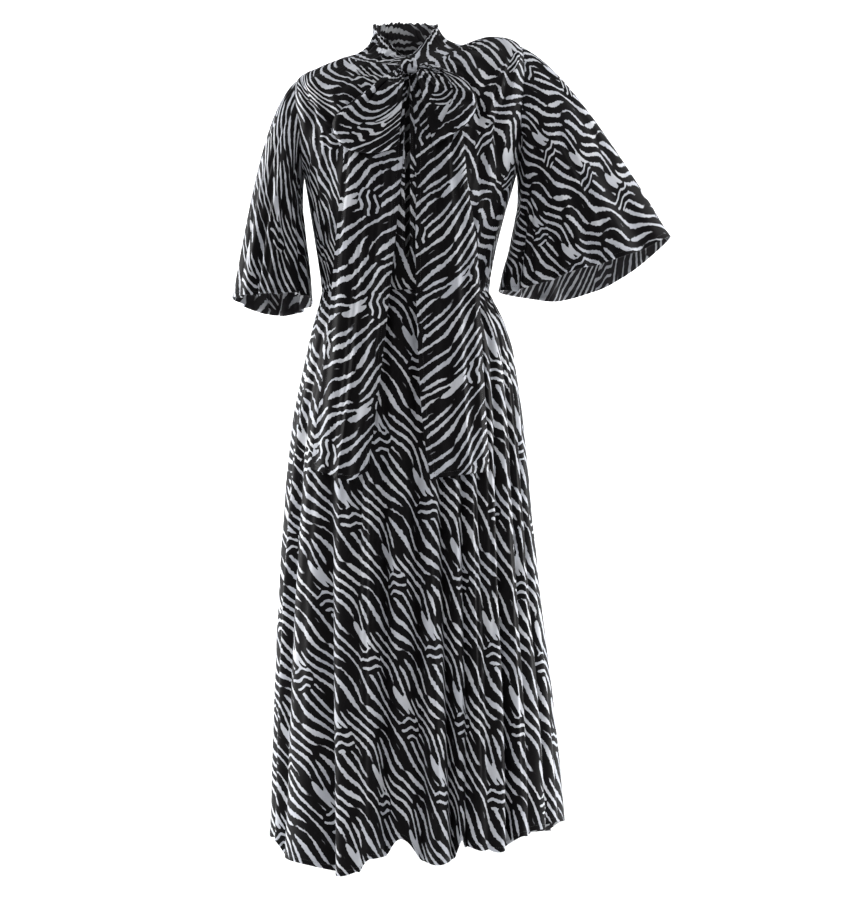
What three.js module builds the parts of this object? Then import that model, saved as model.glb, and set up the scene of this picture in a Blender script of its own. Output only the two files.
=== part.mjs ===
import * as THREE from 'three';

// Long dress with a gathered stand collar, a tied neck bow, a keyhole slit, wide half sleeves
// and a gathered, flared skirt. Millimetres, +Z up, front towards -Y, the wearer's left is +X.
// The origin is the base of the neck, between the shoulders that hold the dress up.

// Driving sizes
const CLOTH = 1.8;              // wall of the cloth
const SEAM = 0.36;              // space between two pieces at a seam
const WAIST_DROP = 380;         // waist seam below the origin
const SLIT_CENTRE = 5;          // keyhole slit, across from the middle line
const LAYER_GAP = 0.9;          // space between a layer and the panel under it

const { clamp, lerp, smoothstep, degToRad } = THREE.MathUtils;
const FULL_TURN = 2 * Math.PI;

// Bodice rings, from the neckline seam (at 0) over the shoulder tip (2) and the armpit (5) to
// the waist seam (9). left, right, front and back are distances from the middle line, the
// heights are those of the ring at each side, in front and behind, and square tells how far the
// ring fills its corners (2 is an ellipse).
const BODICE_RINGS = [
  { at: 0, left: 94, right: 100, front: 72, back: 62,
    zLeft: 28, zRight: 8, zFront: -14, zBack: 18, square: 2.1 },
  { at: 1, left: 142, right: 140, front: 86, back: 76,
    zLeft: 42, zRight: -8, zFront: -42, zBack: -14, square: 2.3 },
  { at: 2, left: 190, right: 178, front: 100, back: 90,
    zLeft: 26, zRight: -31, zFront: -78, zBack: -56, square: 2.5 },
  { at: 3, left: 203, right: 184, front: 114, back: 99,
    zLeft: -46, zRight: -88, zFront: -124, zBack: -108, square: 2.6 },
  { at: 4, left: 198, right: 178, front: 122, back: 103,
    zLeft: -118, zRight: -142, zFront: -168, zBack: -156, square: 2.6 },
  { at: 5, left: 184, right: 166, front: 124, back: 103,
    zLeft: -186, zRight: -192, zFront: -208, zBack: -202, square: 2.6 },
  { at: 6, left: 166, right: 156, front: 121, back: 100,
    zLeft: -248, zRight: -250, zFront: -256, zBack: -254, square: 2.5 },
  { at: 7, left: 151, right: 147, front: 112, back: 96,
    zLeft: -306, zRight: -306, zFront: -309, zBack: -308, square: 2.4 },
  { at: 8, left: 142, right: 140, front: 102, back: 92,
    zLeft: -352, zRight: -352, zFront: -353, zBack: -353, square: 2.3 },
  { at: 9, left: 139, right: 137, front: 97, back: 90,
    zLeft: -WAIST_DROP, zRight: -WAIST_DROP, zFront: -WAIST_DROP, zBack: -WAIST_DROP, square: 2.15 },
];
const BODICE_STEPS = [0, 0.5, 1, 1.5, 2, 2.5, 3, 3.5, 4, 4.5, 5, 6.2, 7.4, 8.2, 9];
const SHOULDER_TIP = 2;
const ARMPIT = 5;
const SLIT_END = 7.4;
const SLIT_WIDTHS = [
  { at: 0, half: 2.5 },
  { at: 4, half: 4.2 },
  { at: 7, half: 4.0 },
  { at: 7.4, half: 2.4 },
  { at: 9, half: 2.4 },
];
const ARMHOLE_HALF_DEPTH = 56;

// Collar rings, from the frilled top edge (at 0) down to the neckline seam (1)
const COLLAR_RINGS = [
  { at: 0, left: 54, right: 53, front: 57, back: 55,
    zLeft: 63, zRight: 62, zFront: 17, zBack: 72, square: 2 },
  { at: 0.3, left: 58, right: 54, front: 58, back: 53,
    zLeft: 52, zRight: 43, zFront: 10, zBack: 58, square: 2 },
  { at: 0.6, left: 66, right: 62, front: 62, back: 54,
    zLeft: 41, zRight: 27, zFront: 2, zBack: 42, square: 2 },
  { at: 0.82, left: 78, right: 78, front: 67, back: 57,
    zLeft: 34, zRight: 15, zFront: -6, zBack: 29, square: 2.05 },
  { at: 1, ...pick(BODICE_RINGS[0]) },
];
const COLLAR_STEPS = [0, 0.16, 0.48, 0.82, 1];
const COLLAR_FRILLS = 44;
const COLLAR_OPENING = 3;       // half of the space between the collar's two front ends

// Skirt sections, by the drop below the origin: the outline reaches left and right as worn
const SKIRT_SECTIONS = [
  { drop: 380, left: 139, right: 137, front: 97, back: 90 },
  { drop: 426, left: 163, right: 150, front: 113, back: 104 },
  { drop: 467, left: 177, right: 160, front: 123, back: 116 },
  { drop: 525, left: 187, right: 173, front: 132, back: 127 },
  { drop: 600, left: 197, right: 187, front: 141, back: 137 },
  { drop: 736, left: 210, right: 200, front: 154, back: 151 },
  { drop: 888, left: 226, right: 210, front: 168, back: 165 },
  { drop: 1053, left: 246, right: 217, front: 182, back: 178 },
  { drop: 1231, left: 263, right: 222, front: 197, back: 190 },
  { drop: 1320, left: 268, right: 226, front: 204, back: 196 },
];
const SKIRT_STEPS = [0, 0.04, 0.1, 0.18, 0.28, 0.4, 0.52, 0.64, 0.76, 0.88, 1];
const SKIRT_SQUARENESS = 2.15;

// Skirt folds. waist and hem place each trough across the section, as a share of its reach
// (1 at the wearer's left side seam, -1 at the right). The depths are those of the trough at
// the waist, half way and at the hem; setBack moves the crest after it inwards at the hem, and
// rise is how far that crest's hem lies above the lowest one.
const FRONT_FOLDS = [
  { waist: 0.988, hem: 0.98, top: 2, middle: 8, bottom: 14, setBack: 2, rise: 74 },
  { waist: 0.962, hem: 0.91, top: 3, middle: 10, bottom: 15, setBack: 3, rise: 68 },
  { waist: 0.91, hem: 0.795, top: 4, middle: 13, bottom: 13, setBack: 0, rise: 58 },
  { waist: 0.805, hem: 0.66, top: 5, middle: 18, bottom: 32, setBack: 0, rise: 37 },
  { waist: 0.64, hem: 0.515, top: 4, middle: 13, bottom: 8, setBack: 0, rise: 42 },
  { waist: 0.5, hem: 0.4, top: 5, middle: 16, bottom: 22, setBack: 14, rise: 56 },
  { waist: 0.286, hem: 0.326, top: 5, middle: 20, bottom: 38, setBack: 0, rise: 21 },
  { waist: 0.112, hem: 0.106, top: 5, middle: 20, bottom: 42, setBack: 34, rise: 60 },
  { waist: -0.2, hem: -0.14, top: 5, middle: 21, bottom: 42, setBack: 3, rise: 28 },
  { waist: -0.392, hem: -0.335, top: 4, middle: 14, bottom: 9, setBack: 0, rise: 2 },
  { waist: -0.655, hem: -0.565, top: 5, middle: 20, bottom: 38, setBack: 2, rise: 16 },
  { waist: -0.88, hem: -0.952, top: 5, middle: 16, bottom: 19, setBack: 4, rise: 40 },
  { waist: -0.975, hem: -0.985, top: 3, middle: 10, bottom: 12, setBack: 0, rise: 42 },
];
const BACK_FOLDS = [
  { waist: -0.975, hem: -0.975, top: 3, middle: 12, bottom: 22, setBack: 4, rise: 20 },
  { waist: -0.86, hem: -0.84, top: 5, middle: 17, bottom: 32, setBack: 2, rise: 16 },
  { waist: -0.65, hem: -0.6, top: 5, middle: 21, bottom: 37, setBack: 0, rise: 22 },
  { waist: -0.47, hem: -0.43, top: 5, middle: 15, bottom: 22, setBack: 8, rise: 30 },
  { waist: -0.28, hem: -0.26, top: 5, middle: 20, bottom: 36, setBack: 0, rise: 20 },
  { waist: -0.09, hem: -0.06, top: 5, middle: 22, bottom: 40, setBack: 16, rise: 34 },
  { waist: 0.12, hem: 0.14, top: 5, middle: 19, bottom: 34, setBack: 2, rise: 22 },
  { waist: 0.31, hem: 0.33, top: 5, middle: 17, bottom: 24, setBack: 6, rise: 30 },
  { waist: 0.5, hem: 0.52, top: 5, middle: 20, bottom: 37, setBack: 0, rise: 24 },
  { waist: 0.68, hem: 0.7, top: 5, middle: 18, bottom: 31, setBack: 2, rise: 32 },
  { waist: 0.84, hem: 0.86, top: 5, middle: 15, bottom: 28, setBack: 4, rise: 42 },
  { waist: 0.965, hem: 0.97, top: 3, middle: 12, bottom: 22, setBack: 0, rise: 66 },
];
const FOLD_COLUMNS = [0, 0.16, 0.38, 0.62, 0.84];
const FOLD_SHARPNESS = 2.1;
const LOWEST_HEM_DROP = 1318;

// Bodice gathers and folds, as shares of a panel's width from the wearer's left to its right
const PANEL_GATHERS = 9;
const CELLS_PER_GATHER = 4;
const WAIST_GATHER_DEPTH = 4.5;
const NECK_GATHER_DEPTH = 2.6;
const BODICE_FOLDS = [
  { panel: 'front', top: 0.12, bottom: 0.2, width: 0.05, depth: 7 },
  { panel: 'front', top: 0.24, bottom: 0.3, width: 0.055, depth: 8 },
  { panel: 'front', top: 0.36, bottom: 0.37, width: 0.05, depth: 5 },
  { panel: 'front', top: 0.64, bottom: 0.66, width: 0.05, depth: 5 },
  { panel: 'front', top: 0.78, bottom: 0.74, width: 0.055, depth: 7 },
  { panel: 'front', top: 0.9, bottom: 0.83, width: 0.05, depth: 6 },
  { panel: 'back', top: 0.12, bottom: 0.2, width: 0.05, depth: 6 },
  { panel: 'back', top: 0.3, bottom: 0.34, width: 0.06, depth: 7 },
  { panel: 'back', top: 0.52, bottom: 0.5, width: 0.06, depth: 5 },
  { panel: 'back', top: 0.72, bottom: 0.68, width: 0.055, depth: 7 },
  { panel: 'back', top: 0.88, bottom: 0.8, width: 0.05, depth: 6 },
];

// Sleeve hems, round from the top fold (0) over the front (0.25) and the side next to the
// bodice (0.5) to the back (0.75), with the directions in which the cloth leaves the armhole
// and reaches the hem. pull and hang are how far those directions hold.
const LEFT_SLEEVE = {
  hem: [
    { round: 0, x: 440, y: 4, z: -287 },
    { round: 0.125, x: 372, y: -58, z: -318 },
    { round: 0.25, x: 284, y: -78, z: -345 },
    { round: 0.375, x: 196, y: -62, z: -374 },
    { round: 0.5, x: 152, y: -8, z: -378 },
    { round: 0.625, x: 190, y: 58, z: -385 },
    { round: 0.75, x: 270, y: 82, z: -388 },
    { round: 0.875, x: 366, y: 66, z: -350 },
  ],
  leave: { top: [0.93, -0.36], side: [0.55, -0.83], under: [0.12, -0.99] },
  reach: { top: [0.56, -0.83], side: [0.3, -0.95], under: [-0.22, -0.97] },
  pull: { top: 86, under: 60 },
  hang: { top: 88, under: 70 },
  folds: [
    { round: 0.1, width: 0.035, depth: 9, start: 0.35 },
    { round: 0.21, width: 0.035, depth: 12, start: 0.2 },
    { round: 0.31, width: 0.035, depth: 15, start: 0.1 },
    { round: 0.41, width: 0.03, depth: 14, start: 0.2 },
    { round: 0.6, width: 0.035, depth: 12, start: 0.3 },
    { round: 0.72, width: 0.035, depth: 13, start: 0.2 },
    { round: 0.84, width: 0.035, depth: 11, start: 0.2 },
  ],
};
const RIGHT_SLEEVE = {
  hem: [
    { round: 0, x: -286, y: 0, z: -389 },
    { round: 0.125, x: -262, y: -62, z: -386 },
    { round: 0.25, x: -216, y: -86, z: -384 },
    { round: 0.375, x: -168, y: -68, z: -384 },
    { round: 0.5, x: -151, y: -6, z: -394 },
    { round: 0.625, x: -166, y: 64, z: -408 },
    { round: 0.75, x: -214, y: 88, z: -414 },
    { round: 0.875, x: -262, y: 62, z: -404 },
  ],
  leave: { top: [-0.82, -0.57], side: [-0.4, -0.92], under: [-0.1, -0.99] },
  reach: { top: [-0.2, -0.98], side: [-0.1, -0.99], under: [0.06, -0.99] },
  pull: { top: 66, under: 60 },
  hang: { top: 120, under: 90 },
  folds: [
    { round: 0.07, width: 0.03, depth: 12, start: 0.25 },
    { round: 0.17, width: 0.035, depth: 17, start: 0.12 },
    { round: 0.28, width: 0.035, depth: 17, start: 0.16 },
    { round: 0.39, width: 0.035, depth: 15, start: 0.3 },
    { round: 0.6, width: 0.035, depth: 14, start: 0.3 },
    { round: 0.72, width: 0.035, depth: 18, start: 0.15 },
    { round: 0.83, width: 0.035, depth: 16, start: 0.2 },
    { round: 0.94, width: 0.03, depth: 12, start: 0.3 },
  ],
};
const SLEEVE_STEPS = [0, 0.1, 0.24, 0.4, 0.56, 0.71, 0.86, 1];
const CELLS_PER_ARMHOLE_STEP = 3;

// Bow: the knot's middle and half sizes, then the two loops and the two long tails
const KNOT = { x: 8, z: -16, width: 17, height: 14, depth: 12 };
const ROOT_OFFSET = 5;          // tails leave the knot behind its middle, loops in front
const LEFT_LOOP_RIM = [
  { at: 0, x: 40, z: -16, inner: 12, lip: 6, root: -8 },
  { at: 0.15, x: 66, z: -23, inner: 34, lip: 14, root: -14 },
  { at: 0.35, x: 101, z: -43, inner: 62, lip: 18, root: -20 },
  { at: 0.55, x: 118, z: -80, inner: 78, lip: 19, root: -27 },
  { at: 0.75, x: 99, z: -118, inner: 62, lip: 16, root: -34 },
  { at: 0.9, x: 68, z: -141, inner: 32, lip: 12, root: -41 },
  { at: 1, x: 47, z: -152, inner: 12, lip: 6, root: -48 },
];
const RIGHT_LOOP_RIM = [
  { at: 0, x: -104, z: -90, inner: 24, root: 196 },
  { at: 0.22, x: -121, z: -110, inner: 30, root: 204 },
  { at: 0.45, x: -113, z: -138, inner: 34, root: 212 },
  { at: 0.65, x: -84, z: -156, inner: 34, root: 222 },
  { at: 0.85, x: -42, z: -158, inner: 30, root: 232 },
  { at: 1, x: -9, z: -147, inner: 24, root: 242 },
];
const LOOP_STEPS_ALONG = 12;
const LOOP_ROLL = 9;            // radius of the turn at a loop's rim
const LEFT_TAIL = [
  { drop: 34, left: 15, right: 9 },
  { drop: 80, left: 76, right: 15 },
  { drop: 125, left: 93, right: 18 },
  { drop: 205, left: 101, right: 19 },
  { drop: 300, left: 116, right: 18 },
  { drop: 420, left: 123, right: 20 },
  { drop: 590, left: 132, right: 29 },
  { drop: 690, left: 139, right: 43 },
];
const RIGHT_TAIL = [
  { drop: 34, left: 5, right: -2 },
  { drop: 80, left: 0, right: -68 },
  { drop: 125, left: -1, right: -90 },
  { drop: 205, left: -5, right: -101 },
  { drop: 300, left: -15, right: -111 },
  { drop: 420, left: -27, right: -121 },
  { drop: 590, left: -47, right: -141 },
  { drop: 690, left: -62, right: -154 },
];
const LEFT_TAIL_HEM = [
  { across: 0, drop: 674 },
  { across: 0.6, drop: 681 },
  { across: 1, drop: 686 },
];
const RIGHT_TAIL_HEM = [
  { across: 0, drop: 674 },
  { across: 0.3, drop: 688 },
  { across: 0.7, drop: 678 },
  { across: 1, drop: 670 },
];
const LEFT_TAIL_FOLDS = [
  { across: 0.1, width: 0.1, height: 5 },
  { across: 0.36, width: 0.13, height: 8 },
  { across: 0.72, width: 0.12, height: 5 },
];
const RIGHT_TAIL_FOLDS = [
  { across: 0.2, width: 0.12, height: 7 },
  { across: 0.5, width: 0.1, height: 4 },
  { across: 0.8, width: 0.13, height: 6 },
];
const TAIL_COLUMNS = 12;
const TAIL_STEPS = [0, 0.035, 0.09, 0.15, 0.22, 0.3, 0.39, 0.49, 0.6, 0.73, 0.87, 1];

// Cloth colours: the mean of the black and pale grey print, a little apart for each piece
const CLOTH_COLOUR = 0x57565b;
const CLOTH_ROUGHNESS = 0.62;

function pick({ at, ...sizes }) {
  return sizes;
}

// A smooth line through the rows of a table, read at any value of its key column
function track(rows, key) {
  const last = rows.length - 1;
  return (value) => {
    let low = 0;
    while (low < last - 1 && value > rows[low + 1][key]) low += 1;
    const [before, start, end, after] = [low - 1, low, low + 1, low + 2]
      .map((index) => rows[clamp(index, 0, last)]);
    const span = end[key] - start[key];
    const share = clamp((value - start[key]) / span, 0, 1);
    const reading = {};
    for (const name of Object.keys(start).filter((column) => typeof start[column] === 'number')) {
      const slopeIn = (end[name] - before[name]) / (end[key] - before[key]);
      const slopeOut = (after[name] - start[name]) / (after[key] - start[key]);
      const square = share * share;
      const cube = square * share;
      reading[name] = start[name] * (2 * cube - 3 * square + 1) + end[name] * (3 * square - 2 * cube)
        + slopeIn * span * (cube - 2 * square + share) + slopeOut * span * (cube - square);
    }
    return reading;
  };
}

function closedTrack(rows, key) {
  const before = rows.slice(-2).map((row) => ({ ...row, [key]: row[key] - 1 }));
  const after = rows.slice(0, 2).map((row) => ({ ...row, [key]: row[key] + 1 }));
  return track([...before, ...rows, ...after], key);
}

// A soft bump, 1 at the middle and 0 from the given width on
function bump(distance, width) {
  const share = Math.min(Math.abs(distance) / width, 1);
  return (1 - share * share) ** 2;
}

// A point of a ring. The angle runs from the wearer's left (0) over the front to the right
function ringPoint(ring, angle) {
  const across = Math.cos(angle);
  const along = Math.sin(angle);
  const reach = across >= 0 ? ring.left : ring.right;
  const depth = along >= 0 ? ring.front : ring.back;
  const bulge = Math.max(0, 1 - Math.abs(across) ** ring.square) ** (1 / ring.square);
  const zSide = across >= 0 ? ring.zLeft : ring.zRight;
  const zMiddle = along >= 0 ? ring.zFront : ring.zBack;
  const z = zSide + (zMiddle - zSide) * Math.abs(along) ** 1.7;
  return new THREE.Vector3(across * reach, -Math.sign(along) * depth * bulge, z);
}

// The angle on a ring at which it lies the given distance in front of the middle plane
function angleAtDepth(depth, offset, square) {
  const across = (1 - (offset / depth) ** square) ** (1 / square);
  return Math.acos(across);
}

// Outward directions of a grid of points. A torn cell is an opening between two columns
function directions(points, { closed = false, torn = () => false } = {}) {
  const rows = points.length;
  const columns = points[0].length;
  const wrap = (column) => (column + columns) % columns;
  return points.map((row, i) => row.map((point, j) => {
    const hasNext = (closed || j < columns - 1) && !torn(i, j);
    const hasPrevious = (closed || j > 0) && !torn(i, wrap(j - 1));
    const next = hasNext ? row[wrap(j + 1)] : point;
    const previous = hasPrevious ? row[wrap(j - 1)] : point;
    const below = points[Math.min(i + 1, rows - 1)][j];
    const above = points[Math.max(i - 1, 0)][j];
    const around = next.clone().sub(previous);
    const down = below.clone().sub(above);
    return around.cross(down).normalize();
  }));
}

// Two columns either side of a seam are set just apart and share their outward directions
function partSeam(points, normals, before, after, isSewn = () => true) {
  points.forEach((row, i) => {
    if (!isSewn(i)) return;
    const middle = row[before].clone().add(row[after]).multiplyScalar(0.5);
    const across = row[after].clone().sub(row[before]).normalize();
    row[before] = middle.clone().addScaledVector(across, -SEAM / 2);
    row[after] = middle.clone().addScaledVector(across, SEAM / 2);
    const shared = normals[i][before].clone().add(normals[i][after]);
    shared.addScaledVector(across, -shared.dot(across)).normalize();
    normals[i][before] = shared;
    normals[i][after] = shared.clone();
  });
}

function movedOut(points, normals, amount) {
  return points.map((row, i) => row.map((point, j) => (
    point.clone().addScaledVector(normals[i][j], amount(i, j)))));
}

// The closed wall between a grid of outer points and its inner points, over a run of columns
function wall(outer, normals, { first = 0, cells, closed = false, keep = () => true } = {}) {
  const rows = outer.length;
  const columns = outer[0].length;
  const count = cells ?? (closed ? columns : columns - 1);
  const inner = movedOut(outer, normals, () => -CLOTH);
  const positions = [];
  const numbers = new Map();
  const vertex = (layer, i, j) => {
    const column = j % columns;
    const name = `${layer}:${i}:${column}`;
    if (!numbers.has(name)) {
      numbers.set(name, positions.length / 3);
      const grid = layer === 0 ? outer : inner;
      positions.push(...grid[i][column].toArray());
    }
    return numbers.get(name);
  };
  const cellAt = (i, k) => {
    if (i < 0 || i >= rows - 1) return false;
    const wrapsRound = closed && count === columns;
    const step = wrapsRound ? (k + count) % count : k;
    if (step < 0 || step >= count) return false;
    return keep(i, first + step);
  };
  const faces = [];
  const quad = (a, b, c, d) => faces.push(a, b, c, a, c, d);
  for (let i = 0; i < rows - 1; i += 1) {
    for (let k = 0; k < count; k += 1) {
      if (!cellAt(i, k)) continue;
      const j = first + k;
      const corners = [[i, j], [i, j + 1], [i + 1, j + 1], [i + 1, j]];
      const [a, b, c, d] = corners.map(([row, column]) => vertex(0, row, column));
      const [e, f, g, h] = corners.map(([row, column]) => vertex(1, row, column));
      quad(a, b, c, d);
      quad(h, g, f, e);
      if (!cellAt(i - 1, k)) quad(b, a, e, f);
      if (!cellAt(i, k + 1)) quad(c, b, f, g);
      if (!cellAt(i + 1, k)) quad(d, c, g, h);
      if (!cellAt(i, k - 1)) quad(a, d, h, e);
    }
  }
  const geometry = new THREE.BufferGeometry();
  geometry.setAttribute('position', new THREE.Float32BufferAttribute(positions, 3));
  geometry.setIndex(faces);
  geometry.computeVertexNormals();
  return geometry;
}

const bodiceAt = track(BODICE_RINGS, 'at');
const collarAt = track(COLLAR_RINGS, 'at');
const skirtAt = track(SKIRT_SECTIONS, 'drop');
const slitAt = track(SLIT_WIDTHS, 'at');

// The neckline seam: the point and the directions that bodice and collar share there
function neckline(angle) {
  const step = 0.02;
  const point = ringPoint(BODICE_RINGS[0], angle);
  const below = ringPoint(bodiceAt(step * 4), angle);
  const above = ringPoint(collarAt(1 - step), angle);
  const ahead = ringPoint(BODICE_RINGS[0], angle + step);
  const behind = ringPoint(BODICE_RINGS[0], angle - step);
  const down = below.sub(point).normalize().add(point.clone().sub(above).normalize()).normalize();
  const normal = ahead.sub(behind).cross(down).normalize();
  return { point, down, normal };
}

// Half of the space between the front and back edges: a seam, or the open armhole
function edgeOffset(at) {
  const share = (at - SHOULDER_TIP) / (ARMPIT - SHOULDER_TIP);
  if (share <= 0 || share >= 1) return SEAM / 2;
  return ARMHOLE_HALF_DEPTH * Math.sin(Math.PI * share) ** 0.75;
}

// The angles of the bodice's columns on one ring: the front panel, then the back panel
function bodiceAngles(at) {
  const ring = bodiceAt(at);
  const panelCells = PANEL_GATHERS * CELLS_PER_GATHER;
  const halfCells = panelCells / 2;
  const offset = edgeOffset(at);
  const frontEdge = angleAtDepth(ring.front, offset, ring.square);
  const backEdge = angleAtDepth(ring.back, offset, ring.square);
  const slit = slitAt(at).half;
  const slitLeft = Math.acos((SLIT_CENTRE + slit) / ring.left);
  const slitRight = Math.acos((SLIT_CENTRE - slit) / (SLIT_CENTRE > slit ? ring.left : ring.right));
  const angles = [];
  for (let k = 0; k <= halfCells; k += 1) angles.push(lerp(frontEdge, slitLeft, k / halfCells));
  for (let k = 0; k <= halfCells; k += 1) {
    angles.push(lerp(slitRight, Math.PI - frontEdge, k / halfCells));
  }
  for (let k = 0; k <= panelCells; k += 1) {
    angles.push(lerp(Math.PI + backEdge, FULL_TURN - backEdge, k / panelCells));
  }
  return angles;
}

const FRONT_CELLS = PANEL_GATHERS * CELLS_PER_GATHER + 1;
const BACK_CELLS = PANEL_GATHERS * CELLS_PER_GATHER;
const SLIT_CELL = (PANEL_GATHERS * CELLS_PER_GATHER) / 2;
const BACK_START = FRONT_CELLS + 1;
const BODICE_COLUMNS = FRONT_CELLS + BACK_CELLS + 2;

// How far a bodice point is drawn in by the gathers and the long folds
function bodiceRelief(at, column) {
  const isFront = column < BACK_START;
  const share = isFront ? column / FRONT_CELLS : (column - BACK_START) / BACK_CELLS;
  const gather = 0.5 - 0.5 * Math.cos((FULL_TURN * column) / CELLS_PER_GATHER);
  const waist = WAIST_GATHER_DEPTH * smoothstep(at, 5.6, 9);
  const neck = NECK_GATHER_DEPTH * smoothstep(at, 0, 0.5) * (1 - smoothstep(at, 0.5, 2.5));
  const atEdge = smoothstep(Math.min(share, 1 - share), 0, 0.06);
  const running = smoothstep(at, 1, 4) * (1 - smoothstep(at, 7.5, 9));
  let folds = 0;
  for (const fold of BODICE_FOLDS.filter(({ panel }) => (panel === 'front') === isFront)) {
    const place = lerp(fold.top, fold.bottom, at / ARMPIT / 2);
    folds += fold.depth * running * bump(share - place, fold.width);
  }
  return -(gather * (waist + neck) + folds) * atEdge;
}

function makeBodice() {
  const smooth = BODICE_STEPS.map((at) => {
    const ring = bodiceAt(at);
    return bodiceAngles(at).map((angle) => ringPoint(ring, angle));
  });
  const isSeam = (j) => j === FRONT_CELLS || j === BODICE_COLUMNS - 1;
  const isArmhole = (i) => BODICE_STEPS[i] > SHOULDER_TIP && BODICE_STEPS[i] < ARMPIT;
  const grid = { closed: true, torn: (i, j) => isSeam(j) && isArmhole(i) };
  const relief = (i, j) => bodiceRelief(BODICE_STEPS[i], j);
  const points = movedOut(smooth, directions(smooth, grid), relief);
  const neckAngles = bodiceAngles(0);
  points[0] = neckAngles.map((angle) => {
    const { point, down } = neckline(angle);
    return point.addScaledVector(down, SEAM / 2);
  });
  const last = points.length - 1;
  points[last].forEach((point) => point.setZ(-WAIST_DROP + SEAM / 2));
  const normals = directions(points, grid);
  normals[0] = neckAngles.map((angle) => neckline(angle).normal);
  normals[last].forEach((normal) => normal.setZ(0).normalize());
  partSeam(points, normals, FRONT_CELLS, BACK_START, (i) => !isArmhole(i));
  partSeam(points, normals, BODICE_COLUMNS - 1, 0, (i) => !isArmhole(i));
  const inSlit = (i, j) => j === SLIT_CELL && BODICE_STEPS[i] < SLIT_END;
  const front = wall(points, normals, { cells: FRONT_CELLS, closed: true, keep: (i, j) => !inSlit(i, j) });
  const back = wall(points, normals, { first: BACK_START, cells: BACK_CELLS, closed: true });
  return { front, back, points, normals };
}

// The armhole's edge, round from the shoulder tip down the front and up the back
function armholeEdge({ points, normals }, side) {
  const columns = side > 0
    ? { front: 0, back: BODICE_COLUMNS - 1 }
    : { front: FRONT_CELLS, back: BACK_START };
  const first = BODICE_STEPS.indexOf(SHOULDER_TIP);
  const last = BODICE_STEPS.indexOf(ARMPIT);
  const edge = [];
  for (let i = first; i <= last; i += 1) edge.push([i, columns.front, 1]);
  for (let i = last; i >= first; i -= 1) edge.push([i, columns.back, -1]);
  const stations = edge.map(([i, j]) => ({ point: points[i][j], normal: normals[i][j] }));
  const corners = [];
  for (let k = 0; k < stations.length; k += 1) {
    const here = stations[k];
    const next = stations[(k + 1) % stations.length];
    const isSeamPair = here.point.distanceTo(next.point) < 1;
    const cells = isSeamPair ? 1 : CELLS_PER_ARMHOLE_STEP;
    for (let step = 0; step < cells; step += 1) {
      corners.push({
        point: here.point.clone().lerp(next.point, step / cells),
        normal: here.normal.clone().lerp(next.normal, step / cells).normalize(),
      });
    }
  }
  return corners;
}

function blendRound(values, round) {
  const lean = Math.cos(FULL_TURN * round);
  const share = Math.abs(lean);
  const towards = lean >= 0 ? values.top : values.under;
  return values.side.map((value, index) => lerp(value, towards[index], share));
}

// A sleeve leaves the armhole's edge and widens to its hem, with folds that deepen downwards
function makeSleeve(bodice, sleeve, side) {
  const edge = armholeEdge(bodice, side);
  const hemAt = closedTrack(sleeve.hem, 'round');
  const columns = edge.map(({ point, normal }, k) => {
    const round = k / edge.length;
    const { x, y, z } = hemAt(round);
    const hem = new THREE.Vector3(x, y, z);
    const lean = Math.cos(FULL_TURN * round);
    const topShare = 0.5 + 0.5 * lean;
    const [leaveX, leaveZ] = blendRound(sleeve.leave, round);
    const [reachX, reachZ] = blendRound(sleeve.reach, round);
    const sideways = -Math.sin(FULL_TURN * round) * 0.3;
    const leave = new THREE.Vector3(leaveX, sideways, leaveZ).normalize();
    const reach = new THREE.Vector3(reachX, sideways * 0.5, reachZ).normalize();
    const start = point.clone().addScaledVector(leave, SEAM);
    const pull = lerp(sleeve.pull.under, sleeve.pull.top, topShare);
    const hang = lerp(sleeve.hang.under, sleeve.hang.top, topShare);
    const curve = new THREE.CubicBezierCurve3(
      start,
      start.clone().addScaledVector(leave, pull),
      hem.clone().addScaledVector(reach, -hang),
      hem,
    );
    return { curve, normal, round };
  });
  if (side < 0) columns.reverse();
  const smooth = SLEEVE_STEPS.map((step) => columns.map(({ curve }) => curve.getPoint(step)));
  const relief = (i, j) => {
    const step = SLEEVE_STEPS[i];
    const { round } = columns[j];
    let depth = 0;
    for (const fold of sleeve.folds) {
      depth += fold.depth * smoothstep(step, fold.start, 1) * bump(round - fold.round, fold.width);
    }
    return -depth;
  };
  const points = movedOut(smooth, directions(smooth, { closed: true }), relief);
  const normals = directions(points, { closed: true });
  normals[0] = columns.map(({ normal }) => normal);
  return wall(points, normals, { closed: true });
}

// The gathered stand collar, open in front behind the knot, frilled along its top edge
function makeCollar() {
  const columns = COLLAR_FRILLS * 2 + 1;
  const angleAt = (at, j) => {
    const ring = collarAt(at);
    const opening = Math.acos((SLIT_CENTRE - COLLAR_OPENING) / ring.left);
    const closing = Math.acos((SLIT_CENTRE + COLLAR_OPENING) / ring.left);
    return lerp(opening, FULL_TURN + closing, j / (columns - 1));
  };
  const smooth = COLLAR_STEPS.map((at) => {
    const ring = collarAt(at);
    return Array.from({ length: columns }, (_, j) => ringPoint(ring, angleAt(at, j)));
  });
  const relief = (i, j) => {
    const at = COLLAR_STEPS[i];
    const frill = lerp(2.6, 1.2, smoothstep(at, 0, 0.3)) * (1 - smoothstep(at, 0.82, 1));
    return j % 2 === 0 ? 0 : -frill;
  };
  const points = movedOut(smooth, directions(smooth), relief);
  const last = points.length - 1;
  const seam = smooth[last].map((_, j) => neckline(angleAt(1, j)));
  points[last] = seam.map(({ point, down }) => point.clone().addScaledVector(down, -SEAM / 2));
  const normals = directions(points);
  normals[last] = seam.map(({ normal }) => normal);
  return wall(points, normals);
}

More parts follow.
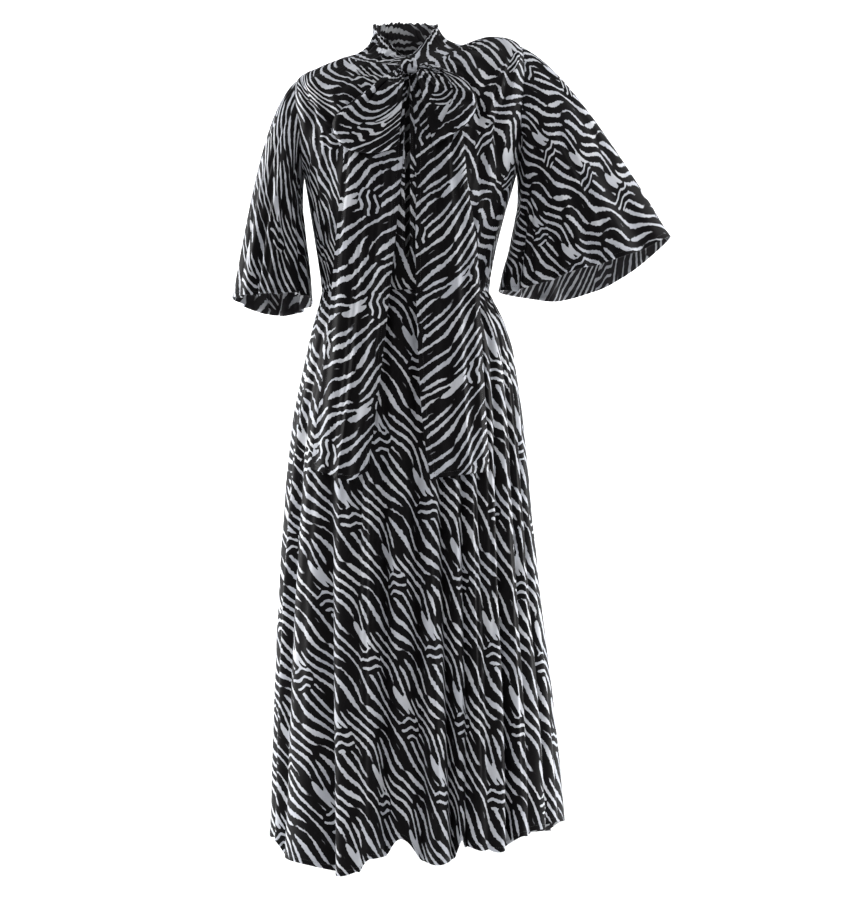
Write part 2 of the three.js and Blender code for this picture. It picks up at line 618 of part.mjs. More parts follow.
// The troughs round the whole skirt, as angles at the waist and at the hem
function skirtTroughs() {
  const front = FRONT_FOLDS.map((fold) => ({
    ...fold, waistAngle: Math.acos(fold.waist), hemAngle: Math.acos(fold.hem),
  }));
  const back = BACK_FOLDS.map((fold) => ({
    ...fold, waistAngle: FULL_TURN - Math.acos(fold.waist), hemAngle: FULL_TURN - Math.acos(fold.hem),
  }));
  return [...front, ...back];
}

const troughs = skirtTroughs();

// One column of the skirt: the fold it lies in, its share across it and its angle and depth
function skirtColumn(index, share) {
  const fold = troughs[index % troughs.length];
  const next = troughs[(index + 1) % troughs.length];
  const turn = index + 1 >= troughs.length ? FULL_TURN : 0;
  const dent = Math.abs(2 * share - 1) ** FOLD_SHARPNESS;
  const nearer = share < 0.5 ? fold : next;
  const rises = [troughs[(index + troughs.length - 1) % troughs.length].rise, fold.rise, next.rise];
  const edgeRise = share < 0.5 ? Math.min(rises[0], rises[1]) : Math.min(rises[1], rises[2]);
  return {
    angleAt: (step) => {
      const from = lerp(fold.waistAngle, fold.hemAngle, step);
      const to = lerp(next.waistAngle + turn, next.hemAngle + turn, step);
      return lerp(from, to, share);
    },
    depthAt: (step) => {
      const upper = lerp(nearer.top, nearer.middle, smoothstep(step, 0, 0.5));
      const lower = (nearer.bottom - nearer.middle) * smoothstep(step, 0.35, 1);
      return dent * (upper + lower) + (1 - dent) * fold.setBack * smoothstep(step, 0.45, 1);
    },
    rise: lerp(fold.rise, edgeRise, dent) + 5 * dent,
  };
}

function skirtPoint(column, step) {
  const top = WAIST_DROP + SEAM / 2;
  const drop = lerp(top, LOWEST_HEM_DROP - column.rise, step);
  const level = { zLeft: -drop, zRight: -drop, zFront: -drop, zBack: -drop, square: SKIRT_SQUARENESS };
  return ringPoint({ ...skirtAt(drop), ...level }, column.angleAt(step));
}

// Front and back skirt panels, parted at side seams that lie in the folds next to each side
function makeSkirt() {
  const list = [];
  const sideCells = [];
  for (let index = 0; index < troughs.length; index += 1) {
    for (const share of FOLD_COLUMNS) list.push(skirtColumn(index, share));
  }
  const seamShare = 0.002;
  const addSeam = (index) => {
    const start = index * FOLD_COLUMNS.length + 3;
    const middle = 0.5;
    list.splice(start + sideCells.length * 2, 0, skirtColumn(index, middle - seamShare),
      skirtColumn(index, middle + seamShare));
    sideCells.push(start + sideCells.length * 2);
  };
  addSeam(FRONT_FOLDS.length - 1);
  addSeam(troughs.length - 1);
  const smooth = SKIRT_STEPS.map((step) => list.map((column) => skirtPoint(column, step)));
  const depth = (i, j) => -list[j].depthAt(SKIRT_STEPS[i]);
  const points = movedOut(smooth, directions(smooth, { closed: true }), depth);
  points[0].forEach((point) => point.setZ(-WAIST_DROP - SEAM / 2));
  const normals = directions(points, { closed: true });
  normals[0].forEach((normal) => normal.setZ(0).normalize());
  const [right, left] = sideCells;
  partSeam(points, normals, right, right + 1);
  partSeam(points, normals, left, left + 1);
  const front = wall(points, normals, {
    first: left + 1, cells: right - left - 1 + list.length, closed: true,
  });
  const back = wall(points, normals, { first: right + 1, cells: left - right - 1, closed: true });
  return { front, back };
}

// The outermost front surface of bodice and skirt at a place, without its folds
function frontDepth(x, drop) {
  const sideAt = (ring) => (x >= 0 ? ring.left : ring.right);
  const depthOf = (ring, square) => {
    const across = Math.min(Math.abs(x) / sideAt(ring), 1);
    return ring.front * (1 - across ** square) ** (1 / square);
  };
  if (drop >= WAIST_DROP) return depthOf(skirtAt(drop), SKIRT_SQUARENESS);
  let low = 0;
  let high = 9;
  for (let pass = 0; pass < 24; pass += 1) {
    const middle = (low + high) / 2;
    const ring = bodiceAt(middle);
    const angle = Math.acos(clamp(x / sideAt(ring), -1, 1));
    if (-ringPoint(ring, angle).z < drop) low = middle;
    else high = middle;
  }
  const ring = bodiceAt((low + high) / 2);
  return depthOf(ring, ring.square);
}

// Depths along a hanging strip, which spans the hollows between the places it touches
function spanned(stations) {
  return stations.map(({ drop }, k) => {
    let depth = stations[k].depth;
    for (let i = 0; i < k; i += 1) {
      for (let j = k + 1; j < stations.length; j += 1) {
        const share = (drop - stations[i].drop) / (stations[j].drop - stations[i].drop);
        depth = Math.max(depth, lerp(stations[i].depth, stations[j].depth, share));
      }
    }
    return depth;
  });
}

const knotDepth = BODICE_RINGS[0].front + LAYER_GAP + KNOT.depth + 1;

// A place just off the knot's surface, at an angle in the front view. The tails leave it
// behind its middle and the loops in front of it.
function knotEdge(angle, forward) {
  const space = SEAM * 2.1;
  const girth = Math.sqrt(1 - (forward / KNOT.depth) ** 2);
  const radians = degToRad(angle);
  return new THREE.Vector3(
    KNOT.x + (KNOT.width * girth + space) * Math.cos(radians),
    -knotDepth - forward,
    KNOT.z + (KNOT.height * girth + space) * Math.sin(radians),
  );
}

// A tail hangs from the knot over the bodice and the top of the skirt
function tailGrid(tail, hem, folds, rootAngles) {
  const edges = track(tail, 'drop');
  const hemAt = track(hem, 'across');
  const columns = Array.from({ length: TAIL_COLUMNS + 1 }, (_, j) => {
    const across = j / TAIL_COLUMNS;
    const root = knotEdge(lerp(rootAngles[0], rootAngles[1], across), -ROOT_OFFSET);
    const bottom = hemAt(across).drop;
    const stations = TAIL_STEPS.map((step) => {
      const drop = lerp(-root.z, bottom, step);
      const { left, right } = edges(Math.max(drop, tail[0].drop));
      const spread = smoothstep(step, 0, 0.07);
      const x = lerp(root.x, lerp(left, right, across), spread);
      const rest = frontDepth(x, drop) + CLOTH + LAYER_GAP;
      return { x, drop, depth: step === 0 ? -root.y : rest };
    });
    const depths = spanned(stations);
    return stations.map(({ x, drop }, i) => {
      const raised = folds.reduce((sum, fold) => (
        sum + fold.height * bump(across - fold.across, fold.width)), 0);
      const lift = raised * smoothstep(TAIL_STEPS[i], 0.02, 0.3);
      return new THREE.Vector3(x, -depths[i] - lift, -drop);
    });
  });
  return TAIL_STEPS.map((_, i) => columns.map((column) => column[i]));
}

function makeTail(grid) {
  return wall(grid, directions(grid));
}

// The front of a tail at a place, read from its own points
function layerDepth(grid, x, z) {
  let depth = 0;
  const reach = 36;
  for (const row of grid) {
    for (const point of row) {
      const away = Math.hypot(point.x - x, point.z - z);
      if (away < reach) depth = Math.max(depth, -point.y);
    }
  }
  return Math.max(depth, frontDepth(x, -z) + CLOTH);
}

// A bow loop: a band that leaves the knot, turns at its rim and comes back over itself. The
// back layer lies on the tail; inner and front give the lengths of the two layers.
function makeLoop(rim, tail, { frontToKnot }) {
  const rimAt = track(rim, 'at');
  const rows = Array.from({ length: LOOP_STEPS_ALONG + 1 }, (_, i) => {
    const { x, z, inner, lip = 0, root } = rimAt(i / LOOP_STEPS_ALONG);
    const base = knotEdge(root, ROOT_OFFSET);
    const edge = new THREE.Vector3(x, base.y, z);
    const along = edge.clone().sub(base);
    const length = along.length();
    along.normalize();
    const roll = Math.min(LOOP_ROLL, length * 0.3);
    const straight = length - roll;
    const back = frontToKnot ? Math.min(inner, straight * 0.6) : straight;
    const front = frontToKnot ? straight : Math.min(lip, straight * 0.7);
    const path = [];
    const backShares = frontToKnot ? [1, 0.5, 0] : [1, 0.8, 0.6, 0.4, 0.2, 0];
    const frontShares = frontToKnot ? [0, 0.25, 0.5, 0.75, 0.9, 1] : [0, 0.5, 1];
    const centre = base.clone().addScaledVector(along, straight);
    const onTail = layerDepth(tail, centre.x, centre.z) + CLOTH + LAYER_GAP;
    const place = (distance, lift) => {
      const point = base.clone().addScaledVector(along, distance);
      const settled = smoothstep(distance, 0, 40);
      const layer = Math.max(layerDepth(tail, point.x, point.z) + CLOTH + LAYER_GAP, onTail * 0.97);
      point.y = lerp(base.y, -layer - lift, settled);
      return point;
    };
    for (const share of backShares) path.push(place(straight - back * share, 0));
    for (const angle of [-54, -18, 18, 54]) {
      const radians = degToRad(angle);
      path.push(place(straight + roll * Math.cos(radians), roll * (1 + Math.sin(radians))));
    }
    for (const share of frontShares) path.push(place(straight - front * share, 2 * roll));
    return path;
  });
  return rows;
}

function makeKnot() {
  const knot = new THREE.SphereGeometry(1, 16, 8);
  const wraps = 5;
  const positions = knot.attributes.position;
  for (let index = 0; index < positions.count; index += 1) {
    const direction = new THREE.Vector3().fromBufferAttribute(positions, index);
    const groove = 1 - 0.06 * (0.5 + 0.5 * Math.cos(wraps * 2 * Math.atan2(direction.x, direction.y)));
    const flat = Math.abs(direction.z) > 0.9 ? 1 : groove;
    positions.setXYZ(index, direction.x * KNOT.width * flat, direction.y * KNOT.depth * flat,
      direction.z * KNOT.height);
  }
  return knot;
}

const model = new THREE.Group();

function add(name, geometry, shade) {
  const colour = new THREE.Color(CLOTH_COLOUR).multiplyScalar(shade);
  const material = new THREE.MeshStandardMaterial({
    color: colour, roughness: CLOTH_ROUGHNESS, metalness: 0,
  });
  const mesh = new THREE.Mesh(geometry, material);
  mesh.name = name;
  model.add(mesh);
  return mesh;
}

const bodice = makeBodice();
const skirt = makeSkirt();
const leftTail = tailGrid(LEFT_TAIL, LEFT_TAIL_HEM, LEFT_TAIL_FOLDS, [-40, -82]);
const rightTail = tailGrid(RIGHT_TAIL, RIGHT_TAIL_HEM, RIGHT_TAIL_FOLDS, [-98, -140]);

add('bodice_front', bodice.front, 1);
add('bodice_back', bodice.back, 0.95);
add('sleeve_left', makeSleeve(bodice, LEFT_SLEEVE, 1), 1.05);
add('sleeve_right', makeSleeve(bodice, RIGHT_SLEEVE, -1), 1.05);
add('collar', makeCollar(), 0.9);
add('skirt_front', skirt.front, 1);
add('skirt_back', skirt.back, 0.95);
add('tie_tail_left', makeTail(leftTail), 1.1);
add('tie_tail_right', makeTail(rightTail), 1.1);
const leftLoop = makeLoop(LEFT_LOOP_RIM, leftTail, { frontToKnot: false });
const rightLoop = makeLoop(RIGHT_LOOP_RIM, rightTail, { frontToKnot: true });
add('bow_loop_left', wall(leftLoop, directions(leftLoop)), 1.15);
add('bow_loop_right', wall(rightLoop, directions(rightLoop)), 1.15);
const knot = add('bow_knot', makeKnot(), 1.15);
knot.position.set(KNOT.x, -knotDepth, KNOT.z);

export default model;
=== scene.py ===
"""A long crepe dress in a black and pale grey animal stripe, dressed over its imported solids.

Shapes are worked out in millimetres, as in the pattern, and become metres in the meshes.
"""
import sys
import logging
import math
from dataclasses import dataclass, field
from enum import Enum
from typing import Callable, Mapping, Sequence, Union

import bpy
import numpy as np
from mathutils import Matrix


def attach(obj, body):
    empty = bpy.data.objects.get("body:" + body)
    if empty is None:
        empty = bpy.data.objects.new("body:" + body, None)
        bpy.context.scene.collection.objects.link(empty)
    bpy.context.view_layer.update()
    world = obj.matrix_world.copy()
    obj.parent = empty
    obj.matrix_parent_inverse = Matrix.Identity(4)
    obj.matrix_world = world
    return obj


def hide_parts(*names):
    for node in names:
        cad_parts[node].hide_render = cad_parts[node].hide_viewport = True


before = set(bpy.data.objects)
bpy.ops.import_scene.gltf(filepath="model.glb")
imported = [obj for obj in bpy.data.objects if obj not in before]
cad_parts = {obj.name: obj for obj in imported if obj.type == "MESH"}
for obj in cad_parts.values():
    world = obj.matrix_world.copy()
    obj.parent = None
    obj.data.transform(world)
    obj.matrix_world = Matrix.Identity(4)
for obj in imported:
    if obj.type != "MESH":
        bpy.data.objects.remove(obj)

LOG = logging.getLogger("dress")
MM = 0.001
FULL_TURN = 2 * math.pi
BODY = "root"
PRINT_MAP = "cloth"

# Driving sizes, in millimetres
SEAM = 0.36
WAIST_DROP = 380.0
SLIT_CENTRE = 5.0
CAD_CLOTH = 1.8
LAYER_GAP = 0.9
CLOTH = 0.9
HEM_WIDTH = 9.0
HEM_EXTRA = 0.9
HEM_SOFTNESS = 1.2
STITCH_INSET = 7.4
STITCH_DENT = 0.35
DENT_REACH = 2.4
SHARP_EDGE = 62.0      # degrees

Array = np.ndarray
Reading = Mapping[str, Array]
Colour = tuple[float, float, float, float]
Lines = list[tuple[Array, Array]]


def smoothstep(value: Array, low: float, high: float) -> Array:
    """A soft step.

    Args:
        value: where to read it.
        low: where it leaves 0.
        high: where it reaches 1.

    Returns:
        The step's height, from 0 to 1.
    """
    share = np.clip((np.asarray(value, dtype=float) - low) / (high - low), 0, 1)
    return share * share * (3 - 2 * share)


def running(value: Array, start: float, full: float, fading: float, end: float) -> Array:
    """A run that comes in softly and goes out softly.

    Args:
        value: where to read it.
        start: where it leaves 0.
        full: where it reaches 1.
        fading: where it leaves 1.
        end: where it is back at 0.

    Returns:
        Its height, from 0 to 1.
    """
    return smoothstep(value, start, full) * (1 - smoothstep(value, fading, end))


def bump(distance: Array, width: Union[float, Array]) -> Array:
    """A soft bump.

    Args:
        distance: how far each place is from the bump's middle.
        width: the distance at which it ends.

    Returns:
        Its height, 1 at the middle and 0 from width on.
    """
    share = np.minimum(np.abs(distance) / width, 1)
    return (1 - share * share) ** 2


def lerp(start: Array, end: Array, share: Array) -> Array:
    """The value that lies a share of the way from start to end."""
    return start + (end - start) * share


def unit(vectors: Array) -> Array:
    """The same vectors at length one."""
    return vectors / np.maximum(np.linalg.norm(vectors, axis=-1, keepdims=True), 1e-9)


class Curve:
    """A smooth line through values given at rising keys."""

    def __init__(self, keys: Sequence[float], values: Array) -> None:
        """Keeps the keys and the values, one row of values to a key."""
        self.keys = np.asarray(keys, dtype=float)
        self.values = np.asarray(values, dtype=float)

    def read(self, places: Array) -> Array:
        """Reads the line.

        Args:
            places: the keys to read it at, of any shape.

        Returns:
            The values there, with the shape of places in front of a value's own shape.
        """
        keys, values = self.keys, self.values
        places = np.asarray(places, dtype=float)
        last = len(keys) - 1
        low = np.clip(np.searchsorted(keys, places, side="left") - 1, 0, last - 1)
        before, after = np.maximum(low - 1, 0), np.minimum(low + 2, last)
        span = keys[low + 1] - keys[low]
        share = np.clip((places - keys[low]) / span, 0, 1)
        spare = values.ndim - 1
        grow = lambda item: item.reshape(item.shape + (1,) * spare)
        slope_in = (values[low + 1] - values[before]) / grow(keys[low + 1] - keys[before])
        slope_out = (values[after] - values[low]) / grow(keys[after] - keys[low])
        share, span = grow(share), grow(span)
        square, cube = share ** 2, share ** 3
        return (values[low] * (2 * cube - 3 * square + 1) + values[low + 1] * (3 * square - 2 * cube)
                + slope_in * span * (cube - 2 * square + share) + slope_out * span * (cube - square))


class Table:
    """Rows of sizes under named columns. The first column is the key that it is read by."""

    def __init__(self, columns: str, *rows: Sequence[float], closed: bool = False) -> None:
        """Keeps the rows. A closed table comes round again one key later."""
        self.columns = columns.split()
        grid = np.array(rows, dtype=float)
        self.rows = [dict(zip(self.columns, row)) for row in grid]
        if closed:
            turn = np.zeros(len(self.columns))
            turn[0] = 1
            grid = np.vstack([grid[-2:] - turn, grid, grid[:2] + turn])
        self.curve = Curve(grid[:, 0], grid[:, 1:])

    def read(self, places: Array) -> dict[str, Array]:
        """The columns' values at the given keys, by name."""
        values = self.curve.read(places)
        return {name: values[..., index] for index, name in enumerate(self.columns[1:])}


RING_SLOPE = 1.7            # how level a ring stays near its two sides


def ring_points(ring: Reading, angle: Array) -> Array:
    """Points of a level ring.

    Args:
        ring: its reach to the left and right, its depth in front and behind, the heights there
            and how square it is.
        angle: from the wearer's left (0) over the front to the right.

    Returns:
        The points, in millimetres.
    """
    across, along = np.cos(angle), np.sin(angle)
    reach = np.where(across >= 0, ring["left"], ring["right"])
    depth = np.where(along >= 0, ring["front"], ring["back"])
    square = ring["square"]
    bulge = np.maximum(0, 1 - np.abs(across) ** square) ** (1 / square)
    side = np.where(across >= 0, ring["zLeft"], ring["zRight"])
    middle = np.where(along >= 0, ring["zFront"], ring["zBack"])
    height = side + (middle - side) * np.abs(along) ** RING_SLOPE
    return np.stack([across * reach, -np.sign(along) * depth * bulge, height], axis=-1)


def level(sizes: Reading, height: Array, square: float) -> dict[str, Array]:
    """A ring that lies at one height all round."""
    heights = {name: height for name in ("zLeft", "zRight", "zFront", "zBack")}
    return {**sizes, **heights, "square": square}


def angle_at_depth(depth: Array, offset: Array, square: Array) -> Array:
    """The angle on a ring at which it lies the given distance from the middle plane."""
    return np.arccos((1 - (offset / depth) ** square) ** (1 / square))


def outward(points: Array, closed: bool = False, torn: int = -1) -> Array:
    """Outward directions of a grid of points.

    Args:
        points: rows down the piece, columns from the wearer's left to the right in front.
        closed: whether the last column joins the first.
        torn: a column whose next cell is open, or -1.

    Returns:
        One unit direction for each point.
    """
    after = np.roll(points, -1, axis=1)
    before = np.roll(points, 1, axis=1)
    if not closed:
        after[:, -1], before[:, 0] = points[:, -1], points[:, 0]
    if torn >= 0:
        after[:, torn], before[:, torn + 1] = points[:, torn], points[:, torn + 1]
    below = np.vstack([points[1:], points[-1:]])
    above = np.vstack([points[:1], points[:-1]])
    return unit(np.cross(after - before, below - above))


def arcs(points: Array) -> Array:
    """The length along each row of a grid, from its first column, in the grid's own unit."""
    steps = np.linalg.norm(np.diff(points, axis=1), axis=-1)
    return np.hstack([np.zeros((len(points), 1)), np.cumsum(steps, axis=1)])


def inset(lines: Array, distance: float, values: Array = None) -> Array:
    """The points that lie a given length along each line of a grid.

    Args:
        lines: the lines, each from its own start.
        distance: the length.
        values: what is read there in place of the points, such as directions.

    Returns:
        One row of three numbers for each line.
    """
    values = lines if values is None else values
    return np.array([[np.interp(distance, length, value[:, axis]) for axis in range(3)]
                     for length, value in zip(arcs(lines), values)])


def soft_dent(share: Array, sharpness: float, rounding: float = 0.13) -> Array:
    """How deep a fold is across its width, with a rounded trough.

    Args:
        share: place across the fold, troughs at 0 and 1 and the crest at a half.
        sharpness: how far the crest stays wide.
        rounding: how blunt the trough is.

    Returns:
        1 in the troughs and 0 on the crest.
    """
    away = 1 - np.abs(2 * share - 1)
    away = (np.sqrt(away ** 2 + rounding ** 2) - rounding) / (math.sqrt(1 + rounding ** 2) - rounding)
    return (1 - away) ** sharpness


def uneven(place: Array, count: float, shift: float) -> Array:
    """Gathers of uneven width and height.

    Args:
        place: share along the gathered edge.
        count: how many gathers the edge has.
        shift: where the unevenness starts, so that no two edges look alike.

    Returns:
        Their depth, from 0 on a ridge to 1 in the deepest hollow.
    """
    phase = count * place + 0.5 * np.sin(FULL_TURN * (2.7 * place + shift))
    phase = phase + 0.3 * np.sin(FULL_TURN * (7.9 * place + 2.3 * shift))
    height = 0.66 + 0.2 * np.sin(FULL_TURN * (5.3 * place + shift)) + 0.14 * np.sin(
        FULL_TURN * (11.7 * place + 3.1 * shift))
    return height * (0.5 - 0.5 * np.cos(FULL_TURN * phase)) ** 1.2


def rumple(across: Array, down: Array, shift: float) -> Array:
    """The slight swell of worn cloth, about one high, over lengths in millimetres."""
    first = np.sin(across / 19 + down / 47 + shift) * np.sin(down / 31 - across / 71 + 2 * shift)
    second = np.sin(across / 9 - down / 60 + 3 * shift) * np.sin(down / 17 + across / 43 + shift)
    return 0.7 * first + 0.3 * second


class Edge(Enum):
    """An edge of a piece, as its grid lies."""

    TOP = "top"
    BOTTOM = "bottom"
    FIRST = "first"
    LAST = "last"


class Finish(Enum):
    """The finishes of the dress and its room."""

    RIGHT_SIDE = "stripe_crepe_right_side"
    REVERSE = "stripe_crepe_reverse"
    THREAD = "black_thread"
    SWEEP = "pale_paper_sweep"


@dataclass(frozen=True)
class Lay:
    """How a piece was laid on the printed cloth before it was cut.

    angle is the way the stripes run over the piece, in degrees from its crosswise line, and
    place is the spot of the cloth, in metres, under the middle of its top edge. A flared piece
    is laid as a sector of a ring. Each bend turns the stripes round a spot where the cloth is
    pulled: its place across and down from the top middle and its radius in millimetres, and
    the turn in degrees. Stripes on a finer print are closer together.
    """

    angle: float
    place: tuple[float, float]
    flared: bool = False
    fineness: float = 1.0
    bends: tuple[tuple[float, ...], ...] = ()


def maths(operation: str, turned: bool = False) -> Callable[..., "Value"]:
    """An operator for values that adds one Math node.

    Args:
        operation: the node's operation.
        turned: whether the value itself comes second.

    Returns:
        The operator.
    """
    def apply(value: "Value", other: object = 0.0) -> "Value":
        """Adds the node."""
        first, second = (other, value) if turned else (value, other)
        return value.tree.node("ShaderNodeMath", {"operation": operation}, {0: first, 1: second})

    return apply


class Value:
    """A socket of a node tree that can be used in sums."""

    def __init__(self, tree: "NodeTree", socket: bpy.types.NodeSocket) -> None:
        """Keeps the socket and the tree that it belongs to."""
        self.tree = tree
        self.socket = socket

    __add__ = maths("ADD")
    __sub__ = maths("SUBTRACT")
    __mul__ = maths("MULTIPLY")
    __radd__ = maths("ADD", turned=True)
    __rsub__ = maths("SUBTRACT", turned=True)
    __rmul__ = maths("MULTIPLY", turned=True)
    sine = maths("SINE")
    at_least = maths("MAXIMUM")
    at_most = maths("MINIMUM")

    def vector(self, operation: str, other: object, output: Union[int, str] = 0) -> "Value":
        """One Vector Math node on this vector and another."""
        inputs = {0: self, 1: other}
        return self.tree.node("ShaderNodeVectorMath", {"operation": operation}, inputs, output)

    def dot(self, other: object) -> "Value":
        """The dot product with another vector."""
        return self.vector("DOT_PRODUCT", other, "Value")

    def noise(self, scale: float, detail: float, output: str = "Fac") -> "Value":
        """A noise texture at this place, of the given fineness in turns to the metre."""
        inputs = {"Vector": self, "Scale": scale, "Detail": detail}
        return self.tree.node("ShaderNodeTexNoise", {}, inputs, output)


class NodeTree:
    """A tree of nodes that is written as calls."""

    def __init__(self, tree: bpy.types.NodeTree) -> None:
        """Keeps the tree that the nodes go to."""
        self.tree = tree

    def node(self, kind: str, settings: Mapping[str, object], inputs: Mapping[object, object],
             output: Union[int, str] = 0) -> Value:
        """Adds a node.

        Args:
            kind: the node's type.
            settings: its own settings, which are made first.
            inputs: a value or a link for each socket, by number or name.
            output: the socket that is handed back.

        Returns:
            The output socket.
        """
        made = self.tree.nodes.new(kind)
        for name, setting in settings.items():
            setattr(made, name, setting)
        for key, given in inputs.items():
            if isinstance(given, Value):
                self.tree.links.new(given.socket, made.inputs[key])
            else:
                made.inputs[key].default_value = given
        return Value(self, made.outputs[output])

    def close(self, kind: str, last: Value) -> None:
        """Leads the last value to the tree's output node, which is of the given kind."""
        self.tree.links.new(last.socket, self.tree.nodes.new(kind).inputs[0])


class ShaderTree(NodeTree):
    """The node tree of one material."""

    def __init__(self, name: str) -> None:
        """Makes the material with an empty tree."""
        self.material = bpy.data.materials.new(name)
        self.material.use_nodes = True
        super().__init__(self.material.node_tree)
        self.tree.nodes.clear()

    def mix(self, share: object, first: object, second: object) -> Value:
        """A colour between two others."""
        return self.node("ShaderNodeMix", {"data_type": "RGBA"}, {0: share, 6: first, 7: second}, 2)

    def bump(self, height: Value, strength: float, distance: float) -> Value:
        """The surface's direction where it is raised by a height.

        Args:
            height: from 0 to 1.
            strength: how strongly it shows.
            distance: what a height of 1 stands for, in metres.

        Returns:
            The direction.
        """
        inputs = {"Strength": strength, "Distance": distance, "Height": height}
        return self.node("ShaderNodeBump", {}, inputs, "Normal")

    def surface(self, sockets: Mapping[str, object]) -> bpy.types.Material:
        """Closes the tree with its shader and returns the material."""
        self.close("ShaderNodeOutputMaterial", self.node("ShaderNodeBsdfPrincipled", {}, sockets))
        return self.material


@dataclass(frozen=True)
class Mark:
    """An oval that comes back in every repeat of the print.

    middle is its place in the repeat, in metres, and angle the way it lies, in degrees. weight
    is how strongly it counts at its middle.
    """

    middle: tuple[float, float]
    angle: float
    half_length: float
    half_width: float
    weight: float


@dataclass(frozen=True)
class StripeCrepe:
    """Printed crepe: tapered black and pale stripes that fork, on a fine pebbled weave.

    The print repeats as a half drop. The stripes are a sum of waves that each turn a whole
    number of times in a repeat, so that they join from one repeat to the next. Every repeat
    has one broad pale mark with a few wavy rungs below it.
    """

    finish: Finish
    ink: Colour = (0.0042, 0.0036, 0.0042, 1.0)
    ground: Colour = (0.5, 0.515, 0.56, 1.0)
    ground_bright: Colour = (0.62, 0.63, 0.66, 1.0)
    repeat: tuple[float, float] = (0.16, 0.23)
    lean: float = -56.0
    # Each wave of the stripes: its turns across and up a repeat, and its strength
    stripes: tuple[tuple[int, int, float], ...] = (
        (9, 9, 1.0), (8, 8, 0.66), (10, 8, 0.72), (8, 10, 0.72), (10, 10, 0.6), (9, 7, 0.54),
        (7, 9, 0.54), (11, 9, 0.42), (9, 11, 0.42), (11, 7, 0.3), (7, 7, 0.36), (12, 8, 0.24),
    )
    # Each sway: its turns, how far it moves the stripes across and up, and where it starts
    sways: tuple[tuple[int, int, float, float, float], ...] = (
        (1, 1, 0.0038, -0.0015, 0.2), (2, 0, -0.0015, 0.002, 0.65), (0, 2, 0.003, 0.0015, 0.4),
        (1, -1, 0.0015, 0.003, 0.9), (3, 1, 0.001, 0.001, 0.1), (1, 3, 0.0015, -0.001, 0.5),
    )
    # Each swell: its turns, how much it widens the pale stripes, and where it starts
    swells: tuple[tuple[int, int, float, float], ...] = (
        (1, 1, 0.08, 0.3), (2, -2, 0.1, 0.8), (3, 1, 0.1, 0.15), (4, 2, 0.1, 0.5), (2, 4, 0.1, 0.9),
    )
    # Where each wave of the stripes starts: shares of its number squared and of its number
    starts: tuple[float, float] = (0.37, 0.1)
    # More of the main stripe where the waves leave the repeat bare, the rungs, the pale mark
    filled: Mark = Mark((0.04, 0.011), -60.0, 0.052, 0.026, 0.8)
    ladder: Mark = Mark((0.078, 0.054), 4.0, 0.024, 0.024, 2.2)
    pale: Mark = Mark((0.066, 0.098), -56.0, 0.031, 0.0095, 1.9)
    fill_start: float = 0.5
    strength: float = 0.5
    threshold: float = 0.54
    edge: float = 0.06
    rung_pitch: float = 0.0145
    rung_slope: float = 30.0
    rung_ripple: float = 190.0
    jag: float = 0.0046
    jag_scale: float = 160.0
    patch_scale: float = 14.0
    patch_range: tuple[float, float] = (0.42, 0.68)
    roughness: float = 0.56
    roughness_sway: float = 0.12
    gloss: float = 0.08
    sheen: float = 0.006
    sheen_roughness: float = 0.45
    sheen_tint: Colour = (0.92, 0.94, 1.0, 1.0)
    weave_scale: float = 1500.0
    pebble_scale: float = 620.0
    relief: float = 0.22
    relief_depth: float = 0.00025

    def wave(self, where: Value, across: int, up: int, start: float) -> Value:
        """A wave that fits into the repeat.

        Args:
            where: the place on the cloth.
            across: its turns in the width of a repeat.
            up: its turns in the height of a repeat.
            start: where it starts, in turns.

        Returns:
            Its height, from -1 to 1.
        """
        turns = (FULL_TURN * across / self.repeat[0], FULL_TURN * up / self.repeat[1], 0.0)
        return (where.dot(turns) + FULL_TURN * start).sine()

    def oval(self, where: Value, mark: Mark) -> Value:
        """A mark in every repeat, also in the half drop.

        Args:
            where: the place on the cloth.
            mark: which one.

        Returns:
            Its weight at its middle, falling to 0 at its rim.
        """
        width, height = self.repeat
        turn = math.radians(mark.angle)
        along = (math.cos(turn) / mark.half_length, math.sin(turn) / mark.half_length, 0.0)
        over = (-math.sin(turn) / mark.half_width, math.cos(turn) / mark.half_width, 0.0)
        found = []
        for drop in (0.0, 0.5):
            corner = (mark.middle[0] - (drop + 0.5) * width, mark.middle[1] - (drop + 0.5) * height, 0.0)
            cell = where.vector("SUBTRACT", corner).vector("DIVIDE", (width, height, 1.0))
            inside = cell.vector("FRACTION", (0, 0, 0)).vector("SUBTRACT", (0.5, 0.5, 0.0))
            offset = inside.vector("MULTIPLY", (width, height, 0.0))
            long, wide = offset.dot(along), offset.dot(over)
            found.append(1.0 - (long * long + wide * wide))
        return found[0].at_least(found[1]).at_least(0.0) * mark.weight

    def swayed(self, where: Value) -> Value:
        """The place bent, so that the stripes wander and their edges are ragged."""
        ragged = where.noise(self.jag_scale, 2.0, "Color").vector("SUBTRACT", (0.5, 0.5, 0.5))
        bent = where.vector("ADD", ragged.vector("MULTIPLY", (self.jag, self.jag, 0.0)))
        for across, up, aside, above, start in self.sways:
            wave = self.wave(where, across, up, start)
            shift = where.tree.node("ShaderNodeCombineXYZ", {}, {0: wave * aside, 1: wave * above})
            bent = bent.vector("ADD", shift)
        return bent

